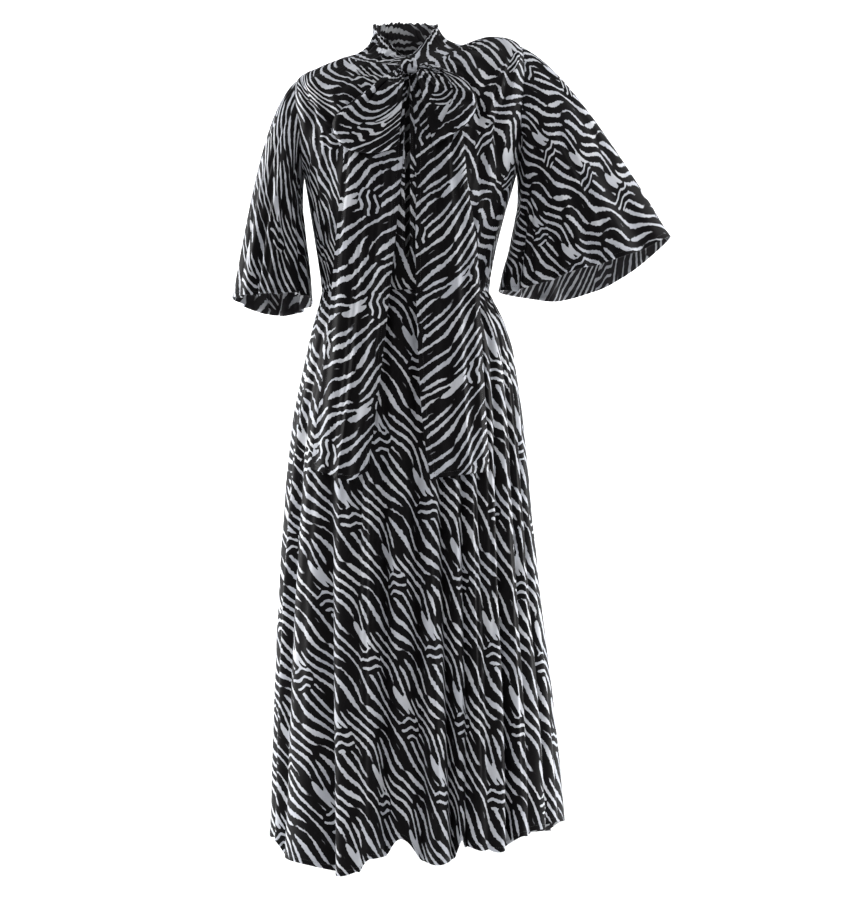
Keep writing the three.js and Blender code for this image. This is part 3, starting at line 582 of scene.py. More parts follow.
    def field(self, where: Value) -> Value:
        """How strongly a place is left pale: above the threshold no ink is printed."""
        bent = self.swayed(where)
        waves = []
        for index, (across, up, height) in enumerate(self.stripes):
            start = self.starts[0] * index ** 2 + self.starts[1] * index
            waves.append(self.wave(bent, across, up, start) * (height * self.strength))
        for across, up, height, start in self.swells:
            waves.append(self.wave(where, across, up, start) * height)
        across, up, _ = self.stripes[0]
        fill = self.wave(bent, across, up, self.fill_start)
        waves.append(fill * self.oval(where, self.filled))
        ripple = bent.dot((self.rung_ripple, 0.0, 0.0)).sine()
        rungs = (bent.dot((self.rung_slope, FULL_TURN / self.rung_pitch, 0.0)) + ripple).sine()
        ladder = self.oval(where, self.ladder).at_most(1.0)
        return sum(waves) * (1.0 - ladder) + rungs * ladder + self.oval(where, self.pale)

    def build(self) -> bpy.types.Material:
        """Makes the material and returns it."""
        tree = ShaderTree(self.finish.value)
        laid = tree.node("ShaderNodeUVMap", {"uv_map": PRINT_MAP}, {})
        where = tree.node("ShaderNodeMapping", {"vector_type": "POINT"}, {
            "Vector": laid, "Rotation": (0.0, 0.0, math.radians(self.lean))})
        mask = tree.node("ShaderNodeMapRange", {}, {
            "Value": self.field(where), "From Min": self.threshold - self.edge,
            "From Max": self.threshold + self.edge,
        })
        patch = tree.node("ShaderNodeMapRange", {}, {
            "Value": where.noise(self.patch_scale, 1.0),
            "From Min": self.patch_range[0], "From Max": self.patch_range[1],
        })
        pale = tree.mix(patch, self.ground, self.ground_bright)
        pebble, weave = where.noise(self.pebble_scale, 2.0), where.noise(self.weave_scale, 1.0)
        return tree.surface({
            "Base Color": tree.mix(mask, self.ink, pale),
            "Roughness": self.roughness + (pebble - 0.5) * self.roughness_sway,
            "Normal": tree.bump(pebble * 0.6 + weave * 0.4, self.relief, self.relief_depth),
            "Specular IOR Level": self.gloss, "Sheen Weight": self.sheen,
            "Sheen Roughness": self.sheen_roughness, "Sheen Tint": self.sheen_tint,
        })


@dataclass(frozen=True)
class Thread:
    """Black sewing thread with a slight twist."""

    colour: Colour = (0.012, 0.011, 0.012, 1.0)
    worn: Colour = (0.03, 0.028, 0.03, 1.0)
    twist_scale: float = 2600.0
    relief: float = 0.3
    relief_depth: float = 0.0001
    roughness: float = 0.55
    sheen: float = 0.2

    def build(self) -> bpy.types.Material:
        """Makes the material and returns it."""
        tree = ShaderTree(Finish.THREAD.value)
        where = tree.node("ShaderNodeTexCoord", {}, {}, "Object")
        twist = where.noise(self.twist_scale, 1.0)
        return tree.surface({
            "Base Color": tree.mix(twist, self.colour, self.worn), "Roughness": self.roughness,
            "Normal": tree.bump(twist, self.relief, self.relief_depth), "Sheen Weight": self.sheen,
        })


@dataclass(frozen=True)
class PaleSweep:
    """The room's matt pale paper."""

    colour: Colour = (0.88, 0.885, 0.89, 1.0)
    contrast: float = 1.02
    grain_scale: float = 3.0
    roughness: float = 0.9

    def build(self) -> bpy.types.Material:
        """Makes the material and returns it."""
        tree = ShaderTree(Finish.SWEEP.value)
        where = tree.node("ShaderNodeTexCoord", {}, {}, "Object")
        grain = where.noise(self.grain_scale, 2.0)
        lighter = tuple(min(1.0, part * self.contrast) for part in self.colour[:3]) + (1.0,)
        colour = tree.mix(grain, self.colour, lighter)
        return tree.surface({"Base Color": colour, "Roughness": self.roughness})


@dataclass
class Wardrobe:
    """The finishes, each made once."""

    made: dict[Finish, bpy.types.Material] = field(default_factory=dict)

    def take(self, finish: Finish) -> bpy.types.Material:
        """Hands out a finish.

        Args:
            finish: which one.

        Returns:
            Its material.
        """
        if finish not in self.made:
            recipes = {
                Finish.RIGHT_SIDE: StripeCrepe(Finish.RIGHT_SIDE),
                Finish.REVERSE: StripeCrepe(
                    Finish.REVERSE, ink=(0.026, 0.024, 0.026, 1.0), ground=(0.44, 0.45, 0.48, 1.0),
                    ground_bright=(0.6, 0.61, 0.63, 1.0), edge=0.12),
                Finish.THREAD: Thread(),
                Finish.SWEEP: PaleSweep(),
            }
            self.made[finish] = recipes[finish].build()
        return self.made[finish]


def placed(name: str, data: bpy.types.ID) -> bpy.types.Object:
    """Puts a new object with the given mesh, lamp or lens into the scene."""
    made = bpy.data.objects.new(name, data)
    bpy.context.scene.collection.objects.link(made)
    return made


def printed(name: str, points: Array, faces: Sequence[Sequence[int]], places: Array,
            *finishes: bpy.types.Material) -> bpy.types.Object:
    """Makes a smooth piece of printed cloth.

    Args:
        name: the piece's name.
        points: its points, in millimetres.
        faces: the numbers of the points round each face.
        places: the place of each point on the printed cloth, in metres.
        finishes: its finishes. Every face starts with the first.

    Returns:
        The mesh object, at the origin.
    """
    mesh = bpy.data.meshes.new(name)
    mesh.from_pydata(points * MM, [], faces)
    corners = np.empty(len(mesh.loops), dtype=np.int32)
    mesh.loops.foreach_get("vertex_index", corners)
    layer = mesh.uv_layers.new(name=PRINT_MAP)
    layer.data.foreach_set("uv", places[corners].astype(np.float32).ravel())
    for finish in finishes:
        mesh.materials.append(finish)
    mesh.polygons.foreach_set("use_smooth", np.ones(len(faces), dtype=bool))
    mesh.update()
    return placed(name, mesh)


@dataclass
class Panel:
    """One sewn piece: a grid of outer points that gets the cloth's thickness and its print.

    points are rows down the piece and columns across it, in millimetres. middle is the share
    across it that the print is centred on, hems are the edges that are turned and stitched,
    open_cells the cells that are cut away, and reverse the finish of the inner side.
    """

    node: str
    points: Array
    lay: Lay
    normals: Array = None
    middle: float = 0.5
    hems: tuple[Edge, ...] = ()
    open_cells: Array = None
    reverse: Finish = Finish.REVERSE

    def __post_init__(self) -> None:
        """Works out the outward directions where none are given."""
        if self.normals is None:
            self.normals = outward(self.points)

    @property
    def name(self) -> str:
        """The piece's name, after the solid that it stands for."""
        return f"{self.node}_cloth"

    def lines_from(self, edge: Edge, grid: Array) -> Array:
        """The grid's lines that start at an edge and run into the piece."""
        lines = grid if edge in (Edge.FIRST, Edge.LAST) else np.swapaxes(grid, 0, 1)
        return lines[:, ::-1] if edge in (Edge.LAST, Edge.BOTTOM) else lines

    def distance_from(self, edge: Edge) -> Array:
        """How far each point lies from an edge.

        Args:
            edge: the edge.

        Returns:
            The lengths over the cloth, as rows and columns of the piece.
        """
        lengths = arcs(self.lines_from(edge, self.points))
        if edge in (Edge.LAST, Edge.BOTTOM):
            lengths = lengths[:, ::-1]
        return lengths if edge in (Edge.FIRST, Edge.LAST) else lengths.T

    def thickness(self) -> Array:
        """The cloth's wall, thicker where the edge is turned."""
        wall = np.full(self.points.shape[:2], CLOTH)
        for edge in self.hems:
            away = self.distance_from(edge)
            turned = 1 - smoothstep(away, HEM_WIDTH - HEM_SOFTNESS, HEM_WIDTH + HEM_SOFTNESS)
            wall = np.maximum(wall, CLOTH + HEM_EXTRA * turned)
        return wall

    def dimpled(self) -> Array:
        """The outer points, drawn in a little along the stitches of the hems."""
        drawn = np.zeros(self.points.shape[:2])
        for edge in self.hems:
            away = self.distance_from(edge) - STITCH_INSET
            drawn = np.maximum(drawn, STITCH_DENT * bump(away, DENT_REACH))
        return self.points - self.normals * drawn[..., None]

    def on_cloth(self) -> Array:
        """The place of each point on the printed cloth, in metres.

        A flared piece is spread out as a sector of a ring, as it was before it was sewn.

        Returns:
            Two coordinates for each point.
        """
        lengths = arcs(self.points) * MM
        centre = int(round(self.middle * (self.points.shape[1] - 1)))
        across = lengths[:, centre:centre + 1] - lengths
        drop = self.distance_from(Edge.TOP) * MM
        widths = lengths[:, -1:]
        flare, width = np.polyfit(drop.mean(axis=1), widths[:, 0], 1)
        if self.lay.flared:
            inner = width / flare
            sweep = flare * across / widths
            across, drop = (inner + drop) * np.sin(sweep), (inner + drop) * np.cos(sweep) - inner
        down = -drop
        for aside, below, radius, degrees in self.lay.bends:
            x, y = across - aside * MM, down + below * MM
            turn = np.radians(degrees) * bump(np.hypot(x, y), radius * MM)
            across = x * np.cos(turn) + y * np.sin(turn) + aside * MM
            down = y * np.cos(turn) - x * np.sin(turn) - below * MM
        across, down = across * self.lay.fineness, down * self.lay.fineness
        turn = math.radians(self.lay.angle)
        along = across * math.cos(turn) + down * math.sin(turn)
        over = -across * math.sin(turn) + down * math.cos(turn)
        return np.stack([along + self.lay.place[0], over + self.lay.place[1]], axis=-1)

    def seam_lines(self) -> Lines:
        """The stitched lines of the hems.

        Returns:
            Points and outward directions of each line, in millimetres.
        """
        found = []
        for edge in self.hems:
            lines = self.lines_from(edge, self.points)
            normals = self.lines_from(edge, self.normals)
            keep = np.ones(len(lines), dtype=bool)
            for other in self.hems:
                if (other in (Edge.TOP, Edge.BOTTOM)) != (edge in (Edge.TOP, Edge.BOTTOM)):
                    away = self.lines_from(edge, self.distance_from(other)[..., None])[:, 0, 0]
                    keep &= away > STITCH_INSET
            path = inset(lines[keep], STITCH_INSET)
            found.append((path, unit(inset(lines[keep], STITCH_INSET, normals[keep]))))
        return found

    def build(self, wardrobe: Wardrobe) -> bpy.types.Object:
        """Makes the closed thin shell.

        Args:
            wardrobe: the finishes.

        Returns:
            The mesh object, at the origin.
        """
        rows, columns = self.points.shape[:2]
        outer = self.dimpled()
        inner = outer - self.normals * self.thickness()[..., None]
        here = np.ones((rows - 1, columns - 1), dtype=bool)
        if self.open_cells is not None:
            here &= ~self.open_cells
        row, column = np.nonzero(here)
        a = row * columns + column
        b, c, d = a + 1, a + columns + 1, a + columns
        under = rows * columns
        padded = np.pad(here, 1)
        above, below = ~padded[row, column + 1], ~padded[row + 2, column + 1]
        after, before = ~padded[row + 1, column + 2], ~padded[row + 1, column]
        quads = [np.stack([a, b, c, d], 1), np.stack([d, c, b, a], 1) + under]
        for mask, first, second in ((above, b, a), (after, c, b), (below, d, c), (before, a, d)):
            start, end = first[mask], second[mask]
            quads.append(np.stack([start, end, end + under, start + under], 1))
        faces = np.vstack(quads)
        used = np.unique(faces)
        renumber = np.zeros(2 * under, dtype=int)
        renumber[used] = np.arange(len(used))
        points = np.vstack([outer.reshape(-1, 3), inner.reshape(-1, 3)])[used]
        places = np.tile(self.on_cloth().reshape(-1, 2), (2, 1))[used]
        piece = printed(self.name, points, renumber[faces], places,
                        wardrobe.take(Finish.RIGHT_SIDE), wardrobe.take(self.reverse))
        slots = np.zeros(len(faces), dtype=np.int32)
        slots[len(a):2 * len(a)] = 1
        piece.data.polygons.foreach_set("material_index", slots)
        piece.data.set_sharp_from_angle(angle=math.radians(SHARP_EDGE))
        piece.data.update()
        return piece


def dressed(piece: bpy.types.Object, *nodes: str) -> bpy.types.Object:
    """Fixes a piece to the dress's body and hides the solids that it stands for.

    Args:
        piece: the piece.
        nodes: the solids that it stands for.

    Returns:
        The piece.
    """
    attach(piece, BODY)
    if nodes:
        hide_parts(*nodes)
    return piece


RING_COLUMNS = "at left right front back zLeft zRight zFront zBack square"
NECKLINE = (94, 100, 72, 62, 28, 8, -14, 18, 2.1)
BODICE_RINGS = Table(
    RING_COLUMNS,
    (0, *NECKLINE),
    (1, 142, 140, 86, 76, 42, -8, -42, -14, 2.3),
    (2, 190, 178, 100, 90, 26, -31, -78, -56, 2.5),
    (3, 203, 184, 114, 99, -46, -88, -124, -108, 2.6),
    (4, 198, 178, 122, 103, -118, -142, -168, -156, 2.6),
    (5, 184, 166, 124, 103, -186, -192, -208, -202, 2.6),
    (6, 166, 156, 121, 100, -248, -250, -256, -254, 2.5),
    (7, 151, 147, 112, 96, -306, -306, -309, -308, 2.4),
    (8, 142, 140, 102, 92, -352, -352, -353, -353, 2.3),
    (9, 139, 137, 97, 90, -WAIST_DROP, -WAIST_DROP, -WAIST_DROP, -WAIST_DROP, 2.15),
)
SKIRT_SECTIONS = Table(
    "drop left right front back",
    (380, 139, 137, 97, 90), (426, 163, 150, 113, 104), (467, 177, 160, 123, 116),
    (525, 187, 173, 132, 127), (600, 197, 187, 141, 137), (736, 210, 200, 154, 151),
    (888, 226, 210, 168, 165), (1053, 246, 217, 182, 178), (1231, 263, 222, 197, 190),
    (1320, 268, 226, 204, 196),
)
SKIRT_SQUARENESS = 2.15
WAIST_RING = 9.0
HALVINGS = 24           # of the rings, to find the one at a height


WAIST_GATHERS = 74
WAIST_GATHER_DEPTH = 3.4


def waist_gathers(angle: Array) -> Array:
    """How far the gathers draw the cloth in at the waist seam, in millimetres."""
    return WAIST_GATHER_DEPTH * uneven(angle / FULL_TURN, WAIST_GATHERS, 0.31)


def front_depth(across: Array, drop: Array) -> Array:
    """The outermost front surface of bodice and skirt, without their folds.

    Args:
        across: places from the middle line, in millimetres.
        drop: how far below the origin, in millimetres.

    Returns:
        How far it lies in front of the middle plane.
    """
    across, drop = np.broadcast_arrays(np.asarray(across, float), np.asarray(drop, float))

    def depth_of(ring: Reading, square: Array) -> Array:
        """The front of one ring."""
        side = np.where(across >= 0, ring["left"], ring["right"])
        share = np.minimum(np.abs(across) / side, 1)
        return ring["front"] * (1 - share ** square) ** (1 / square)

    low, high = np.zeros(across.shape), np.full(across.shape, WAIST_RING)
    for _ in range(HALVINGS):
        middle = (low + high) / 2
        ring = BODICE_RINGS.read(middle)
        side = np.where(across >= 0, ring["left"], ring["right"])
        angle = np.arccos(np.clip(across / side, -1, 1))
        above = -ring_points(ring, angle)[..., 2] < drop
        low, high = np.where(above, middle, low), np.where(above, high, middle)
    ring = BODICE_RINGS.read((low + high) / 2)
    skirt = SKIRT_SECTIONS.read(np.maximum(drop, WAIST_DROP))
    return np.where(drop >= WAIST_DROP, depth_of(skirt, SKIRT_SQUARENESS), depth_of(ring, ring["square"]))


@dataclass
class Bodice:
    """Front and back bodice panels, with the keyhole slit and the open armholes."""

    shoulder_tip: float = 2.0
    armpit: float = 5.0
    slit_end: float = 7.4
    armhole_half_depth: float = 56.0
    half_columns: int = 92
    gathers: int = 9
    gather_depth: float = 4.5
    yoke_gathers: float = 37.8
    yoke_gather_depth: float = 2.6
    swell_depth: float = 0.7
    slit_stitch_inset: float = 3.4
    slit_widths: Table = Table("at half", (0, 2.5), (4, 4.2), (7, 4.0), (7.4, 2.4), (9, 2.4))
    front_folds: Table = Table(
        "order top bottom width depth start end",
        (0, 0.12, 0.20, 0.05, 7, 1.0, 8.6), (1, 0.24, 0.30, 0.055, 8, 1.0, 8.6),
        (2, 0.36, 0.37, 0.05, 5, 1.0, 8.6), (3, 0.64, 0.66, 0.05, 5, 1.0, 8.6),
        (4, 0.78, 0.74, 0.055, 7, 1.0, 8.6), (5, 0.9, 0.83, 0.05, 6, 1.0, 8.6),
        (6, 0.07, 0.15, 0.022, 3.0, 3.2, 8.9), (7, 0.175, 0.245, 0.02, 3.2, 0.3, 7.2),
        (8, 0.29, 0.33, 0.018, 2.4, 2.2, 8.8), (9, 0.43, 0.44, 0.016, 1.8, 0.2, 5.4),
        (10, 0.56, 0.56, 0.016, 1.8, 1.2, 6.2), (11, 0.71, 0.70, 0.02, 2.8, 0.4, 8.0),
        (12, 0.845, 0.79, 0.02, 3.0, 2.6, 8.9), (13, 0.95, 0.88, 0.018, 2.6, 3.6, 8.2),
    )
    back_folds: Table = Table(
        "order top bottom width depth start end",
        (0, 0.12, 0.20, 0.05, 6, 1.0, 8.6), (1, 0.30, 0.34, 0.06, 7, 1.0, 8.6),
        (2, 0.52, 0.50, 0.06, 5, 1.0, 8.6), (3, 0.72, 0.68, 0.055, 7, 1.0, 8.6),
        (4, 0.88, 0.80, 0.05, 6, 1.0, 8.6), (5, 0.06, 0.13, 0.02, 2.6, 3.4, 8.8),
        (6, 0.21, 0.27, 0.022, 3.0, 1.8, 7.6), (7, 0.41, 0.42, 0.02, 2.4, 0.2, 6.4),
        (8, 0.62, 0.59, 0.02, 2.8, 2.4, 8.9), (9, 0.80, 0.745, 0.02, 2.8, 0.6, 7.8),
        (10, 0.94, 0.87, 0.018, 2.4, 3.2, 8.6),
    )
    # Pulls in the front panel, from one place to another in the front view
    pulls: Table = Table(
        "order x1 z1 x2 z2 width depth",
        (0, -16, -34, -106, -102, 13, 9.5), (1, -135, -98, -90, -116, 11, 8), (2, -86, -27, -26, -25, 7, 4),
        (3, 92, -22, 143, -125, 11, 6.5), (4, 148, -30, 158, -203, 9, 5), (5, 126, -96, 134, -283, 11, 6.5),
        (6, -150, -60, -166, -200, 10, 5), (7, -128, -130, -132, -290, 11, 6),
    )
    points: Array = None
    normals: Array = None

    def rows(self) -> Array:
        """The rings that the panels are made of, closer together round the armholes."""
        yoke = np.linspace(0, self.shoulder_tip, 34)
        arm = np.linspace(self.shoulder_tip, self.armpit, 46)[1:]
        slit = np.linspace(self.armpit, self.slit_end, 24)[1:]
        return np.concatenate([yoke, arm, slit, np.linspace(self.slit_end, WAIST_RING, 24)[1:]])

    def edge_offset(self, at: Array) -> Array:
        """Half of the space between the front and back edges: a seam, or the open armhole."""
        share = (np.asarray(at, float) - self.shoulder_tip) / (self.armpit - self.shoulder_tip)
        inside = (share > 0) & (share < 1)
        arch = np.sin(math.pi * np.clip(share, 0, 1)) ** 0.75
        return np.where(inside, np.maximum(self.armhole_half_depth * arch, SEAM / 2), SEAM / 2)

    def edge_angles(self, at: Array) -> tuple[Array, Array]:
        """The angles at which the front and the back panel end."""
        ring = BODICE_RINGS.read(at)
        offset = self.edge_offset(at)
        return (angle_at_depth(ring["front"], offset, ring["square"]),
                angle_at_depth(ring["back"], offset, ring["square"]))

    def angles(self, at: Array) -> Array:
        """The angles of the columns on each ring: the front panel, then the back panel."""
        ring = BODICE_RINGS.read(at)
        front, back = (edge[:, None] for edge in self.edge_angles(at))
        half = self.slit_widths.read(at)["half"]
        slit_left = np.arccos((SLIT_CENTRE + half) / ring["left"])[:, None]
        slit_right = np.arccos((SLIT_CENTRE - half) / ring["left"])[:, None]
        share = np.linspace(0, 1, self.half_columns + 1)[None, :]
        wide = np.linspace(0, 1, 2 * self.half_columns + 1)[None, :]
        return np.hstack([
            lerp(front, slit_left, share), lerp(slit_right, math.pi - front, share),
            lerp(math.pi + back, FULL_TURN - back, wide)])

    def relief(self, at: Array, share: Array, angle: Array, folds: Table) -> Array:
        """How far gathers and folds draw a panel in.

        Args:
            at: the ring of each row, as a column.
            share: place across the panel, as a row.
            angle: the angle of each point.
            folds: the panel's folds.

        Returns:
            The depths, in millimetres.
        """
        row = at[:, None]
        main = uneven(share[None, :], self.gathers, 0.2 + folds.rows[0]["width"])
        depth = main * self.gather_depth * running(row, 5.6, 8.2, 8.3, WAIST_RING)
        fine = uneven(share[None, :], self.yoke_gathers, 0.7)
        depth = depth + fine * self.yoke_gather_depth * running(row, 0, 0.35, 0.4, 2.1)
        depth = depth + waist_gathers(angle) * smoothstep(row, 7.9, WAIST_RING)
        for fold in folds.rows:
            place = lerp(fold["top"], fold["bottom"], row / (2 * self.armpit))
            place = place + 0.006 * np.sin(row * 1.7 + 5 * fold["top"])
            start, end = fold["start"], fold["end"]
            run = running(row, start - 1, start + 2, end - 1.4, end + 0.4)
            depth = depth + fold["depth"] * run * bump(share[None, :] - place, fold["width"])
        swell = rumple(share[None, :] * 420, row * 60, 1.3 + folds.rows[0]["depth"])
        depth = depth + self.swell_depth * (1 + swell) * running(row, 0.2, 1, 8.2, WAIST_RING)
        edge = smoothstep(np.minimum(share, 1 - share), 0, 0.05)[None, :]
        return depth * np.maximum(edge, smoothstep(row, 8.6, WAIST_RING))

    def pulled(self, points: Array) -> Array:
        """How far the pulls from collar, bow and armholes draw the front panel in.

        Args:
            points: the panel's points, in millimetres.

        Returns:
            The depths, in millimetres.
        """
        depth = np.zeros(points.shape[:2])
        places = points[..., [0, 2]]
        for pull in self.pulls.rows:
            start = np.array([pull["x1"], pull["z1"]])
            span = np.array([pull["x2"], pull["z2"]]) - start
            share = np.clip((places - start) @ span / (span @ span), 0, 1)
            away = np.linalg.norm(places - start - share[..., None] * span, axis=-1)
            depth += pull["depth"] * (0.35 + 0.65 * bump(share - 0.45, 0.75)) * bump(away, pull["width"])
        return depth

    def grids(self) -> None:
        """Works out the points and the outward directions of both panels."""
        at = self.rows()
        angles = self.angles(at)
        rings = {name: part[:, None] for name, part in BODICE_RINGS.read(at).items()}
        smooth = ring_points(rings, angles)
        seam = 2 * self.half_columns + 1
        normals = outward(smooth, closed=True, torn=seam)
        front = np.linspace(0, 1, seam + 1)
        back = np.linspace(0, 1, angles.shape[1] - seam - 1)
        depth = np.hstack([
            self.relief(at, front, angles[:, :seam + 1], self.front_folds),
            self.relief(at, back, angles[:, seam + 1:], self.back_folds)])
        inside = smoothstep(np.minimum(front, 1 - front), 0, 0.05)[None, :]
        free = smoothstep(at[:, None], 0.1, 0.6) * inside
        depth[:, :seam + 1] += self.pulled(smooth[:, :seam + 1]) * free
        points = smooth - normals * depth[..., None]
        down = unit(points[1] - points[0])
        points[0] += down * SEAM / 2
        points[-1, :, 2] = -WAIST_DROP + SEAM / 2
        self.points = points
        self.normals = outward(points, closed=True, torn=seam)
        self.normals[-1, :, 2] = 0
        self.normals[-1] = unit(self.normals[-1])

    def armhole(self, rounds: Array, side: int) -> Array:
        """Points of an armhole's edge.

        Args:
            rounds: 0 at the shoulder tip, down the front to the armpit and up the back to 1.
            side: 1 for the wearer's left, -1 for the right.

        Returns:
            The points, in millimetres.
        """
        stations = 38
        place = np.mod(rounds, 1) * stations
        leg = stations / 2 - 1
        span = self.armpit - self.shoulder_tip
        front_at = self.shoulder_tip + np.clip(place / leg, 0, 1) * span
        back_at = self.armpit - np.clip((place - leg - 1) / leg, 0, 1) * span
        found = []
        for at, sign in ((front_at, 1), (back_at, -1)):
            front, back = self.edge_angles(at)
            angle = front if sign > 0 else FULL_TURN - back
            if side < 0:
                angle = math.pi - front if sign > 0 else math.pi + back
            found.append(ring_points(BODICE_RINGS.read(at), angle))
        under = np.clip(place - leg, 0, 1)
        over = np.clip(place - (stations - 1), 0, 1)
        share = (under * (1 - over))[..., None]
        return lerp(found[0], found[1], share)

    def panels(self) -> list[Panel]:
        """The two panels, ready to be made."""
        self.grids()
        seam = 2 * self.half_columns + 2
        at = self.rows()
        cut = np.zeros((len(at) - 1, seam - 1), dtype=bool)
        cut[:, self.half_columns] = at[:-1] < self.slit_end - 0.01
        front_lay = Lay(-62, (0.285, 0.083), fineness=1.12,
                        bends=((-125, 70, 145, 62), (130, 60, 130, -8)))
        front = Panel("bodice_front", self.points[:, :seam], front_lay,
                      normals=self.normals[:, :seam], open_cells=cut)
        back = Panel("bodice_back", self.points[:, seam:], Lay(-62, (1.7, 0.4)),
                     normals=self.normals[:, seam:])
        return [front, back]

    def slit_lines(self) -> Lines:
        """The stitched lines either side of the keyhole slit, in millimetres."""
        rows = np.nonzero(self.rows() < self.slit_end)[0]
        found = []
        for column, step in ((self.half_columns, -1), (self.half_columns + 1, 1)):
            stop = column + step * 12
            line = self.points[rows, column:stop:step]
            facing = self.normals[rows, column:stop:step]
            found.append((inset(line, self.slit_stitch_inset), facing[:, 2]))
        return found


@dataclass
class Sleeve:
    """A bell sleeve that leaves the armhole's edge and widens to its hem.

    leave and reach are the directions in which the cloth leaves the armhole and reaches the
    hem, at the top fold, the sides and the underside, and pull and hang how far they hold.
    A fold has a place round the sleeve, a half width, a depth and a start. A crease has an end
    and a lean as well.
    """

    node: str
    side: int
    hem: Table
    leave: tuple[tuple[float, float], ...]
    reach: tuple[tuple[float, float], ...]
    pull: tuple[float, float]
    hang: tuple[float, float]
    folds: tuple[tuple[float, ...], ...]
    creases: tuple[tuple[float, ...], ...]
    lay: Lay
    columns: int = 230
    rows: int = 92
    cap_gathers: int = 46
    cap_gather_depth: float = 1.7
    swell_depth: float = 1.1

    def direction(self, choices: Sequence[Sequence[float]], lean: Array, forward: Array) -> Array:
        """A direction between those of the top, the sides and the underside.

        Args:
            choices: the three directions, as across and up.
            lean: 1 at the top fold, 0 at the sides and -1 underneath.
            forward: how far it points forwards or back.

        Returns:
            The directions, at length one.
        """
        top, beside, under = np.array(choices)
        towards = np.where(lean[:, None] >= 0, top, under)
        across, up = lerp(beside, towards, np.abs(lean)[:, None]).T
        return unit(np.stack([across, forward, up], axis=-1))

    def smooth(self, bodice: Bodice, rounds: Array) -> Array:
        """The sleeve without its folds.

        Args:
            bodice: the bodice that it is sewn to.
            rounds: place of each column round the sleeve.

        Returns:
            The grid of points.
        """
        lean = np.cos(FULL_TURN * rounds)
        forward = -np.sin(FULL_TURN * rounds) * 0.3
        found = self.hem.read(np.mod(rounds, 1))
        hem = np.stack([found["x"], found["y"], found["z"]], axis=-1)
        leave = self.direction(self.leave, lean, forward)
        reach = self.direction(self.reach, lean, forward * 0.5)
        start = bodice.armhole(rounds, self.side) + leave * SEAM
        top = (0.5 + 0.5 * lean)[:, None]
        second = start + leave * lerp(self.pull[1], self.pull[0], top)
        third = hem - reach * lerp(self.hang[1], self.hang[0], top)
        step = np.linspace(0, 1, self.rows)[:, None, None]
        spare = 1 - step
        return (spare ** 3 * start + 3 * spare ** 2 * step * second
                + 3 * spare * step ** 2 * third + step ** 3 * hem)

    def panel(self, bodice: Bodice) -> Panel:
        """The sleeve with its folds, ready to be made.

        Args:
            bodice: the bodice that it is sewn to.

        Returns:
            The piece.
        """
        ease = 0.0003
        rounds = np.linspace(-0.5 + ease, 0.5 - ease, self.columns)
        if self.side < 0:
            rounds = rounds[::-1]
        points = self.smooth(bodice, rounds)
        step = np.linspace(0, 1, self.rows)[:, None]
        turn = np.mod(rounds, 1)[None, :]
        depth = np.zeros(points.shape[:2])
        for place, width, deep, start in self.folds:
            drift = place + 0.008 * np.sin(step * 4 + 9 * place)
            depth += deep * smoothstep(step, start, 1) * bump(turn - drift, width)
        for place, width, deep, start, end, lean in self.creases:
            run = running(step, start - 0.12, start + 0.12, end - 0.12, end + 0.12)
            depth += deep * run * bump(turn - place - lean * (step - start), width)
        cap = uneven(turn, self.cap_gathers, 0.4 + 0.2 * self.side)
        cap = cap * bump(np.minimum(turn, 1 - turn), 0.42)
        depth += self.cap_gather_depth * cap * running(step, 0, 0.03, 0.04, 0.2)
        swell = 1 + rumple(turn * 900, step * 340, 0.7 + self.side)
        depth += self.swell_depth * swell * smoothstep(step, 0.05, 0.3)
        points = points - outward(points) * depth[..., None]
        return Panel(self.node, points, self.lay, middle=0.75 if self.side > 0 else 0.25,
                     hems=(Edge.BOTTOM,))


